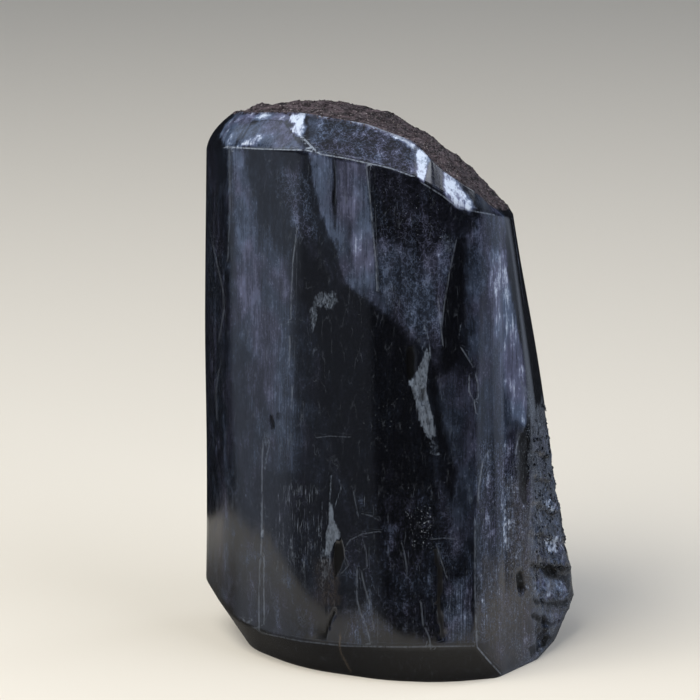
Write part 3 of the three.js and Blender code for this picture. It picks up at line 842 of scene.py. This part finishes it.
MATH, RANGE, MIX, VECTOR = "ShaderNodeMath", "ShaderNodeMapRange", "ShaderNodeMix", "ShaderNodeVectorMath"
TIMES = {"operation": "MULTIPLY"}
TIMES_PLUS = {"operation": "MULTIPLY_ADD"}
LARGER = {"operation": "MAXIMUM"}
SOFT = {"interpolation_type": "SMOOTHSTEP"}
RGBA = {"data_type": "RGBA"}


def new_finish(name):
    """A material with an empty tree, the function that adds to it, and its Object coordinates."""
    material = bpy.data.materials.new(name)
    material.use_nodes = True
    material.node_tree.nodes.clear()
    add = partial(add_node, material.node_tree)
    return material, add, add("ShaderNodeTexCoord").outputs["Object"]


# Uneven pattern with bumps so many mm across and up; shift tells patterns of one size apart
Pattern = namedtuple("Pattern", "across up detail rough shift")


def patterns(add, place, **wanted):
    """A noise for each pattern, to its real size."""
    made = {}
    for name, pattern in wanted.items():
        scale = [1 / (pattern.across * MM)] * 2 + [1 / (pattern.up * MM)]
        placed = add("ShaderNodeMapping", {"Vector": place, "Scale": scale, "Location": [pattern.shift] * 3})
        settings = {"Vector": placed, "Scale": 1.0, "Detail": pattern.detail, "Roughness": pattern.rough}
        made[name] = add("ShaderNodeTexNoise", settings)
    return made


CRACK_CELL = (1 / (1.7 * MM), 1 / (1.7 * MM), 1 / (6.5 * MM))
CRACK_BEND = (0.9, 0.9, 0.9)
LIGHT_POWER = 2.4  # how fast the silky grey and painted sheen brighten with tone
SCHORL_IOR = 1.64
SKIN_IOR = 1.55
BUMP_DEPTH = 0.05 * MM


def end_finish(add, colour, rough, height, strength, ior):
    """End a finish in one shader, with its small relief as a bump."""
    bump = add("ShaderNodeBump", {"Height": height, "Strength": strength, "Distance": BUMP_DEPTH})
    sockets = {"Base Color": colour, "Roughness": rough, "Normal": bump, "IOR": ior}
    add("ShaderNodeOutputMaterial", (add("ShaderNodeBsdfPrincipled", sockets),))


def schorl_noise(add, place, fibre):
    """Every uneven pattern of the stone, to its size in mm; fibre is the width of its fibres. The
    threads and specks are drawn coarser than they are, as coarse as they need to show."""
    return patterns(
        add, place,
        fibres=Pattern(fibre, 9, 3, 0.6, 0),
        fine_fibres=Pattern(fibre * 0.53, 4.2, 3, 0.65, 1.9),
        threads=Pattern(fibre * 0.43, 2.6, 3, 0.65, 8.1),
        thread_gaps=Pattern(1.1, 1.5, 3, 0.7, 8.8),
        silk=Pattern(0.9, 22, 3, 0.5, 3.1),
        clouds=Pattern(1.6, 3.4, 4, 0.6, 7.7),
        mottles=Pattern(0.75, 0.95, 4, 0.65, 1.3),
        dust=Pattern(0.30, 0.55, 4, 0.75, 4.9),
        shatter=Pattern(0.9, 0.7, 4, 0.65, 2.2),
        ragged=Pattern(0.22, 0.55, 3, 0.7, 5.2),
        specks=Pattern(0.15, 0.24, 2, 0.6, 9.4),
        grain=Pattern(0.16, 0.2, 2, 0.6, 2.6),
        flake_grain=Pattern(0.4, 1.1, 4, 0.7, 4.4),
        crack_gaps=Pattern(0.9, 2.4, 4, 0.65, 5.5),
        hair_gaps=Pattern(0.3, 1.2, 3, 0.7, 8.8),
        hues=Pattern(4, 7, 2, 0.5, 6.1),
        skin=Pattern(1.4, 0.5, 4, 0.65, 3.3),
        skin_grains=Pattern(0.3, 0.3, 2, 0.6, 6.6),
    )


def schorl_tone(add, noise, mark):
    """How pale the polish looks, from black glass at 0: the painted tone of silky grey, painted sheen
    and highlights, varied by fibres and clouds, with fine veins where it is mottled."""
    tone = mark["tone"]
    for name, least, most in (("silk", 0.86, 1.14), ("fibres", 0.90, 1.08), ("clouds", 0.88, 1.12)):
        swing = add(RANGE, (noise[name], 0.3, 0.7, least, most), **SOFT)
        tone = add(MATH, (tone, swing), **TIMES)
    veins = add(MATH, (noise["mottles"], 0.5), operation="SUBTRACT")
    veins = add(RANGE, (add(MATH, (veins,), operation="ABSOLUTE"), 0.05, 0.0, 0, 0.36), **SOFT)
    tone = add(MATH, (veins, mark["mottle"], tone), **TIMES_PLUS)
    cloudy = add(RANGE, (noise["clouds"], 0.45, 0.75, 0, 0.27), **SOFT)
    cloudy_share = add(MATH, (mark["mottle"], 0.8, 0.5), **TIMES_PLUS)
    tone = add(MATH, (cloudy, cloudy_share, tone), **TIMES_PLUS)
    dust = add(RANGE, (noise["dust"], 0.48, 0.75, 0, 0.22), **SOFT)
    tone = add(MATH, (tone, dust), operation="ADD")
    for kind, name, least, most in (("streak", "fine_fibres", 0.62, 1.3), ("broken", "shatter", 0.6, 1.25)):
        swing = add(RANGE, (noise[name], 0.35, 0.65, least, most), **SOFT)
        tone = add(MATH, (tone, add(MIX, (mark[kind], 1.0, swing))), **TIMES)
    return tone


def schorl_flakes(add, noise, mark):
    """Frosty flakes with ragged edges."""
    flake = add(MATH, (noise["ragged"], 1.1, mark["frost"]), **TIMES_PLUS)
    flake = add(RANGE, (flake, 0.90, 1.40, 0, 0.85), **SOFT)
    return add(MATH, (flake, add(RANGE, (mark["frost"], 0.02, 0.25), **SOFT)), **TIMES)


def schorl_hairs(add, noise, mark):
    """Pale and dark hairlines, the pale ones also painted highlights along edges, broken up along their
    length.
    """
    hair = add(RANGE, (add(MATH, (mark["hair_side"],), operation="ABSOLUTE"), 1.5, 0.4), **SOFT)
    hair = add(MATH, (hair, add(RANGE, (noise["hair_gaps"], 0.34, 0.58, 0.1, 0.95), **SOFT)), **TIMES)
    hair = add(MATH, (hair, mark["hair_power"]), **TIMES)
    dark_hair = add(MATH, (add(MATH, (hair, -1.0), **TIMES), 0.0), **LARGER)
    return add(MATH, (hair, 0.0), **LARGER), dark_hair


def schorl_scratches(add, place, noise, mark, pale_hair):
    """Pale hairlines and painted highlights along edges, upright threads and faint branching cracks together.
    """
    streak = add(MATH, (mark["streak"], 0.21, noise["threads"]), **TIMES_PLUS)
    streak = add(RANGE, (streak, 0.78, 0.87), **SOFT)
    streak = add(MATH, (streak, add(RANGE, (noise["thread_gaps"], 0.38, 0.62, 0.05, 0.45), **SOFT)), **TIMES)
    cell = add("ShaderNodeMapping", {"Vector": place, "Scale": CRACK_CELL})
    bend = add("ShaderNodeTexNoise", {"Vector": cell, "Scale": 1.7, "Detail": 3.0}).outputs["Color"]
    cell = add(VECTOR, (bend, CRACK_BEND, cell), **TIMES_PLUS)
    crack = add("ShaderNodeTexVoronoi", {"Vector": cell, "Scale": 1.0}, feature="DISTANCE_TO_EDGE")
    crack = add(RANGE, (crack, 0.035, 0.008), **SOFT)
    crack = add(MATH, (crack, add(RANGE, (noise["crack_gaps"], 0.46, 0.68, 0, 0.07), **SOFT)), **TIMES)
    fine = add(MATH, (streak, crack), **LARGER)
    return add(MATH, (add(MATH, (pale_hair, 0.85), **TIMES), fine), **LARGER)


def natural_skin(add, noise, skin_colour):
    """Mauve-brown skin of the natural top, with paler grains that are partly painted glints."""
    share = add(RANGE, (noise["skin"], 0.35, 0.65), **SOFT)
    skin = add(MIX, (share, linear("#161314"), skin_colour), **RGBA)
    grains = add(RANGE, (noise["skin_grains"], 0.58, 0.70, 0, 0.8), **SOFT)
    # paler grains, partly painted glints
    return add(MIX, (grains, skin, linear("#8C8689")), **RGBA)


def polished_schorl(sizes):
    """Schorl, a black tourmaline, ground and hand polished. To the eye it is near-black glass with
    silky upright bands of blue-grey, frosty flakes where cleavages lie just under the polish, fine
    pale hairlines, and a dull mauve-brown natural skin on top. Its colour also holds painted
    reflections, sheen, highlights and glints, and painted shade in its gaps and pits."""
    material, add, place = new_finish("schorl_hand_polished")
    noise = schorl_noise(add, place, sizes.fibre_width / MM)
    kinds = (*KINDS, "crust")
    mark = {kind: add("ShaderNodeAttribute", attribute_name=kind).outputs["Fac"] for kind in kinds}
    tone = schorl_tone(add, noise, mark)
    flake = schorl_flakes(add, noise, mark)
    pale_hair, dark_hair = schorl_hairs(add, noise, mark)

    flake_tone = add(RANGE, (noise["flake_grain"], 0.3, 0.65, 0.22, 0.92), **SOFT)
    fleck = add(MATH, (mark["fleck"], 0.14, noise["specks"]), **TIMES_PLUS)
    rusty = add(RANGE, (noise["ragged"], 0.4, 0.65, 0.3, 1), **SOFT)
    glint = add(RANGE, (noise["grain"], 0.60, 0.70, 0, 0.7), **SOFT)
    light = add(MATH, (add(MATH, (tone, 0.0), **LARGER), LIGHT_POWER), operation="POWER")
    hue_share = add(RANGE, (noise["hues"], 0.4, 0.62), **SOFT)
    colour = add(MIX, (hue_share, sizes.silk_and_sheen_colour, linear("#6A7092")), **RGBA)
    colour = add(MIX, (light, sizes.glass_colour, colour), **RGBA)
    for share, shade in (
        # painted highlights: the palest tone turns pale blue-white
        (add(RANGE, (tone, 0.82, 1.2, 0, 0.9), **SOFT), linear("#C4D2E6")),
        (add(MATH, (flake, flake_tone), **TIMES), sizes.frost_colour),
        # pale hairlines and threads, with painted highlights along edges
        (schorl_scratches(add, place, noise, mark, pale_hair), linear("#8D98A8")),
        # pale specks, and painted glints on the broken side
        (add(RANGE, (fleck, 0.785, 0.845, 0, 0.6), **SOFT), linear("#A8B2BE")),
        # rust, and painted reflection of the warm floor on the slope
        (add(MATH, (mark["rust"], rusty), **TIMES), linear("#4A423A")),
        # dark cracks, and painted shade in gaps, pits and hollows
        (add(MATH, (mark["dark"], dark_hair), **LARGER), linear("#050506")),
        # painted glints on the broken side
        (add(MATH, (glint, mark["broken"]), **TIMES), linear("#8F9AA8")),
        (mark["crust"], natural_skin(add, noise, sizes.skin_colour)),
    ):
        colour = add(MIX, (share, colour, shade), **RGBA)

    rough = add(RANGE, (tone, 0.05, 0.8, 0.10, 0.32), **SOFT)
    for share, rough_there in (
        (flake, 0.5), (pale_hair, 0.5), (mark["crust"], 0.62), (mark["broken"], 0.24), (mark["dark"], 0.75)
    ):
        rough = add(MATH, (rough, add(MATH, (share, rough_there), **TIMES)), **LARGER)
    raw = add(MATH, (add(MATH, (mark["broken"], mark["crust"]), **LARGER), noise["grain"]), **TIMES)
    height = add(MATH, (noise["fibres"], 0.35), **TIMES)
    for share, rise in ((flake, -0.3), (pale_hair, -0.5), (raw, 2.2)):
        height = add(MATH, (share, rise, height), **TIMES_PLUS)
    end_finish(add, colour, rough, height, 0.5, SCHORL_IOR)
    return material


def grain_finish(name, pattern, dark, pale, glint, roughness, ior):
    """A finish for small grains: two shades that wander from grain to grain, and painted glints."""
    material, add, place = new_finish(name)
    noise = patterns(add, place, tint=pattern, glints=Pattern(0.3, 0.3, 2, 0.6, 2.2))
    tint = add(RANGE, (noise["tint"], 0.35, 0.67), **SOFT)
    colour = add(MIX, (tint, dark, pale), **RGBA)
    glints = add(RANGE, (noise["glints"], 0.60, 0.68), **SOFT)
    colour = add(MIX, (glints, colour, glint), **RGBA)
    end_finish(add, colour, add(RANGE, (tint, 0, 1, *roughness), **SOFT), tint, 0.3, ior)
    return material


def natural_grains(sizes):
    """Natural skin of the crystal, as it grew: dull mauve-brown grains, with painted pale glints."""
    pattern = Pattern(0.8, 0.8, 2, 0.6, 1.1)
    dark, glint = linear("#1C191A"), linear("#8C8684")
    return grain_finish("natural_skin_grains", pattern, dark, sizes.skin_colour, glint, (0.35, 0.6), SKIN_IOR)


def splinter_schorl(sizes):
    """Freshly broken schorl: black glassy splinters whose edges catch the light, with painted pale glints."""
    pattern = Pattern(0.6, 1.2, 3, 0.6, 1.7)
    pale = linear("#353B45")
    return grain_finish("schorl_splinters", pattern, sizes.glass_colour, pale, pale, (0.18, 0.35), SCHORL_IOR)


# Geometry Nodes: grains strewn over part of a surface

GRAIN_UNEVEN = 0.3  # how far a grain's corners move, as a share of its radius
GRAIN_TURNS = (0.5, 0.5, 6.28)  # a little tilt two ways and a full turn, in radians


def scatter_tree():
    """A tree that strews small angular grains over the faces where an attribute is high."""
    tree = bpy.data.node_groups.new("grains_on_a_surface", "GeometryNodeTree")
    tree.interface.new_socket("Surface", in_out="INPUT", socket_type="NodeSocketGeometry")
    for name, kind in (
        ("Share name", "NodeSocketString"),
        ("Per square metre", "NodeSocketFloat"),
        ("Smallest", "NodeSocketFloat"),
        ("Largest", "NodeSocketFloat"),
        ("Flatness", "NodeSocketFloat"),
        ("Length", "NodeSocketFloat"),
        ("Seed", "NodeSocketInt"),
        ("Finish", "NodeSocketMaterial"),
    ):
        tree.interface.new_socket(name, in_out="INPUT", socket_type=kind)
    tree.interface.new_socket("Grains", in_out="OUTPUT", socket_type="NodeSocketGeometry")
    add = partial(add_node, tree)
    given = add("NodeGroupInput").outputs
    share = add("GeometryNodeInputNamedAttribute", {"Name": given["Share name"]}, data_type="FLOAT")
    density = add(MATH, (share, given["Per square metre"]), **TIMES)
    spread = {"Mesh": given["Surface"], "Density": density, "Seed": given["Seed"]}
    strewn = add("GeometryNodeDistributePointsOnFaces", spread)
    grain = add("GeometryNodeMeshIcoSphere", {"Radius": 1.0, "Subdivisions": 1})
    seed = {"Seed": given["Seed"]}
    uneven = {"Min": [-GRAIN_UNEVEN] * 3, "Max": [GRAIN_UNEVEN] * 3, **seed}
    uneven = add("FunctionNodeRandomValue", uneven, data_type="FLOAT_VECTOR")
    shaped = add("GeometryNodeSetPosition", {"Geometry": grain, "Offset": uneven})
    spin = add("FunctionNodeRandomValue", {"Max": GRAIN_TURNS, **seed}, data_type="FLOAT_VECTOR")
    limits = {0: given["Smallest"], 1: given["Largest"], **seed}
    size = add("FunctionNodeRandomValue", limits, data_type="FLOAT")
    proportions = add("ShaderNodeCombineXYZ", {"X": given["Length"], "Y": 1.0, "Z": given["Flatness"]})
    scale = add(VECTOR, {0: proportions, "Scale": size}, operation="SCALE")
    turns = {"Rotation": strewn.outputs["Rotation"], "Rotate By": spin}
    turned = add("FunctionNodeRotateRotation", turns, rotation_space="LOCAL")
    places = {"Points": strewn, "Instance": shaped, "Rotation": turned, "Scale": scale}
    placed = add("GeometryNodeInstanceOnPoints", places)
    real = add("GeometryNodeRealizeInstances", {"Geometry": placed})
    finished = add("GeometryNodeSetMaterial", {"Geometry": real, "Material": given["Finish"]})
    add("NodeGroupOutput", (finished,))
    return tree


def scattered(name, surface, inputs):
    """A plain mesh object of grains, from the scatter tree on a copy of a surface."""
    carrier = bpy.data.objects.new(name + "_carrier", surface.copy())
    bpy.context.scene.collection.objects.link(carrier)
    modifier = carrier.modifiers.new("grains", "NODES")
    modifier.node_group = scatter_tree()
    sockets = {item.name: item.identifier for item in modifier.node_group.interface.items_tree}
    for socket, value in inputs.items():
        modifier[sockets[socket]] = value
    graph = bpy.context.evaluated_depsgraph_get()
    mesh = bpy.data.meshes.new_from_object(carrier.evaluated_get(graph))
    mesh.name = name
    bpy.data.objects.remove(carrier)
    piece = bpy.data.objects.new(name, mesh)
    bpy.context.scene.collection.objects.link(piece)
    return piece


GRAINS_PER_M2, SPLINTERS_PER_M2 = 4.6e6, 0.8e6
COLOUR = {"size": 4, "subtype": "COLOR"}


class StoneSizes(bpy.types.PropertyGroup):
    """Sizes and colours of the stone and its stage"""

    seed: IntProperty(name="Seed", description="Changes all random marks", default=4, min=0)
    grain_size: FloatProperty(
        name="Grain", description="Largest grain on the natural top", default=0.17 * MM, unit="LENGTH"
    )
    splinter_size: FloatProperty(
        name="Splinter", description="Longest splinter on the broken side", default=0.30 * MM, unit="LENGTH"
    )
    fibre_width: FloatProperty(
        name="Fibre", description="Width of the upright fibres", default=0.30 * MM, unit="LENGTH"
    )
    glass_colour: FloatVectorProperty(
        name="Glass", description="Black of the polished stone", default=linear("#08090D"), **COLOUR
    )
    # blue-grey of the silky bands, also the colour of their painted sheen and reflections
    silk_and_sheen_colour: FloatVectorProperty(
        name="Silk", description="Blue-grey of the silky bands", default=linear("#5F7090"), **COLOUR
    )
    frost_colour: FloatVectorProperty(
        name="Frost", description="Grey of the flakes", default=linear("#6F7B8C"), **COLOUR
    )
    skin_colour: FloatVectorProperty(
        name="Skin", description="Mauve-brown of the natural top", default=linear("#4E454A"), **COLOUR
    )
    floor_colour: FloatVectorProperty(
        name="Floor", description="Plain pale floor", default=linear("#E2DED4"), **COLOUR
    )


class STONE_OT_crystal(bpy.types.Operator):
    """Make the polished stone in place of its plain solid"""

    bl_idname = "stone.crystal"
    bl_label = "Stone"

    def execute(self, context):
        sizes = context.scene.stone_sizes
        mesh = stone_mesh(sizes.seed)
        mesh.materials.append(polished_schorl(sizes))
        stone = bpy.data.objects.new("polished_stone", mesh)
        context.scene.collection.objects.link(stone)
        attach(stone, BODY)
        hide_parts(NODE)
        return {"FINISHED"}


class STONE_OT_grains(bpy.types.Operator):
    """Strew grains over the natural top and splinters over the broken side"""

    bl_idname = "stone.grains"
    bl_label = "Grains and splinters"

    def execute(self, context):
        sizes = context.scene.stone_sizes
        surface = bpy.data.objects["polished_stone"].data
        grains = scattered("natural_top_grains", surface, {
            "Share name": "crust",
            "Per square metre": GRAINS_PER_M2,
            "Smallest": sizes.grain_size * 0.25,
            "Largest": sizes.grain_size,
            "Flatness": 0.55,
            "Length": 1.6,
            "Seed": sizes.seed,
            "Finish": natural_grains(sizes),
        })
        splinters = scattered("broken_side_splinters", surface, {
            "Share name": "chips",
            "Per square metre": SPLINTERS_PER_M2,
            "Smallest": sizes.splinter_size * 0.3,
            "Largest": sizes.splinter_size,
            "Flatness": 0.4,
            "Length": 1.8,
            "Seed": sizes.seed + 1,
            "Finish": splinter_schorl(sizes),
        })
        for piece in (grains, splinters):
            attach(piece, BODY)
        return {"FINISHED"}


# Light and floor

Glow = namedtuple("Glow", "name azimuth elevation inner outer colour strength")

GLOWS = (
    Glow("left", -84, -10, 10, 30, "#BCC8DE", 0.62),
    Glow("right", 117, -12, 23, 39, "#BCC8DE", 0.62),
    Glow("front left", -44, -10, 6, 20, "#B8C2D6", 0.22),
    Glow("overhead", 0, 90, 10, 50, "#E8ECF4", 0.35),
    Glow("high left", -108, 44, 8, 24, "#D0DAEA", 1.3),
    Glow("first high right", 103, 61, 4, 9, "#E6ECF6", 4.0),
    Glow("second high right", 119, 36, 4, 9, "#E6ECF6", 4.0),
)
DIM_ALL_ROUND = [0.012, 0.013, 0.016]


def studio_world():
    """Soft panels round the stone, seen only as light and as reflections."""
    world = bpy.data.worlds.new("studio")
    world.use_nodes = True
    world.node_tree.nodes.clear()
    add = partial(add_node, world.node_tree)
    looking = add("ShaderNodeTexCoord").outputs["Generated"]
    total = DIM_ALL_ROUND
    for glow in GLOWS:
        dot = add(VECTOR, (looking, tuple(direction(glow.azimuth, glow.elevation))), operation="DOT_PRODUCT")
        outer, inner = math.cos(math.radians(glow.outer)), math.cos(math.radians(glow.inner))
        share = add(RANGE, (dot, outer, inner), **SOFT)
        colour = [c * glow.strength for c in linear(glow.colour)[:3]]
        lit = add(VECTOR, {0: colour, "Scale": share}, operation="SCALE")
        total = add(VECTOR, (lit, total), operation="ADD")
    ground = add("ShaderNodeBackground", {"Color": total, "Strength": 1.0})
    add("ShaderNodeOutputWorld", {"Surface": ground})
    return world


FLOOR_RADIUS = 4.0
# The stone mirrors only an oval of the floor, with this middle and half size in metres
MIRRORED_MIDDLE, MIRRORED_HALF = (-0.008, 0.012, 0), (0.076, 0.054, 1.0)
MIRRORED_EDGE = (0.96, 1.04)
MIRRORED_SHADOW = (0.5, 0.95, 0.82, 0.35)  # painted shade: the floor that the stone's foot mirrors is dimmed in reflections, for the stone's shadow on it

Lamp = namedtuple("Lamp", "name azimuth elevation distance size watts colour")

LAMPS = (
    Lamp("key", -48, 52, 0.7, 0.5, 6.0, "#FFFAF2"),
    Lamp("fill", 60, 38, 0.8, 0.6, 3.2, "#F2F5FF"),
)


def floor_finish(colour):
    """Matt pale floor, of which the polish mirrors only an oval round the stone, dimmed near the foot as
    painted shade.
    """
    material, add, place = new_finish("floor_plain_pale")
    shader = add("ShaderNodeBsdfPrincipled", {"Base Color": colour, "Roughness": 0.85})
    off = add(VECTOR, (place, MIRRORED_MIDDLE), operation="SUBTRACT")
    oval = add(VECTOR, (off, MIRRORED_HALF), operation="DIVIDE")
    out = add(VECTOR, (oval,), operation="LENGTH")
    glossy = add("ShaderNodeLightPath").outputs["Is Glossy Ray"]
    shadow = add(RANGE, (out, *MIRRORED_SHADOW), **SOFT)
    beyond = add(RANGE, (out, *MIRRORED_EDGE), **SOFT)
    gone = add(MATH, (add(MATH, (beyond, shadow), **LARGER), glossy), **TIMES)
    both = add("ShaderNodeMixShader", (gone, shader, add("ShaderNodeBsdfTransparent")))
    add("ShaderNodeOutputMaterial", (both,))
    return material


class STONE_OT_stage(bpy.types.Operator):
    """Lay the pale floor and set the lights and the camera"""

    bl_idname = "stone.stage"
    bl_label = "Stage"

    def execute(self, context):
        scene = context.scene
        mesh = bpy.data.meshes.new("floor")
        angles = np.linspace(0, 2 * math.pi, 65)[:-1]
        corners = [(math.cos(a) * FLOOR_RADIUS, math.sin(a) * FLOOR_RADIUS, 0) for a in angles]
        mesh.from_pydata(corners, [], [tuple(range(len(corners)))])
        mesh.materials.append(floor_finish(scene.stone_sizes.floor_colour))
        floor = bpy.data.objects.new("floor", mesh)
        scene.collection.objects.link(floor)
        scene.world = studio_world()
        scene.view_settings.view_transform = "Standard"
        for lamp in LAMPS:
            light = bpy.data.lights.new(lamp.name, "AREA")
            light.size = lamp.size
            light.energy = lamp.watts
            light.color = linear(lamp.colour)[:3]
            holder = bpy.data.objects.new(lamp.name, light)
            towards = direction(lamp.azimuth, lamp.elevation)
            holder.location = Vector((0, 0, HEIGHT * MM / 2)) + towards * lamp.distance
            holder.rotation_euler = towards.to_track_quat("Z", "Y").to_euler()
            holder.visible_camera = False
            holder.visible_glossy = False
            scene.collection.objects.link(holder)
        camera = bpy.data.objects.new("camera", bpy.data.cameras.new("camera"))
        camera.data.lens = CAMERA_LENS
        camera.data.sensor_width = SENSOR
        camera.data.clip_start = 0.01
        towards = direction(0, CAMERA_ELEVATION)
        camera.location = CAMERA_AIM + towards * CAMERA_DISTANCE
        camera.rotation_euler = towards.to_track_quat("Z", "Y").to_euler()
        scene.collection.objects.link(camera)
        scene.camera = camera
        return {"FINISHED"}


class STONE_PT_panel(bpy.types.Panel):
    """Sizes, colours and steps of the stone"""

    bl_label = "Standing stone"
    bl_space_type = "VIEW_3D"
    bl_region_type = "UI"
    bl_category = "Stone"

    def draw(self, context):
        sizes = context.scene.stone_sizes
        for name in sizes.__annotations__:
            self.layout.prop(sizes, name)
        for operator in OPERATORS:
            self.layout.operator(operator.bl_idname)


OPERATORS = (STONE_OT_crystal, STONE_OT_grains, STONE_OT_stage)
CLASSES = (StoneSizes, *OPERATORS, STONE_PT_panel)


def register():
    for cls in CLASSES:
        bpy.utils.register_class(cls)
    bpy.types.Scene.stone_sizes = PointerProperty(type=StoneSizes)


def unregister():
    del bpy.types.Scene.stone_sizes
    for cls in reversed(CLASSES):
        bpy.utils.unregister_class(cls)


def main():
    register()
    bpy.ops.stone.crystal()
    bpy.ops.stone.grains()
    bpy.ops.stone.stage()


if __name__ == "__main__":
    main()
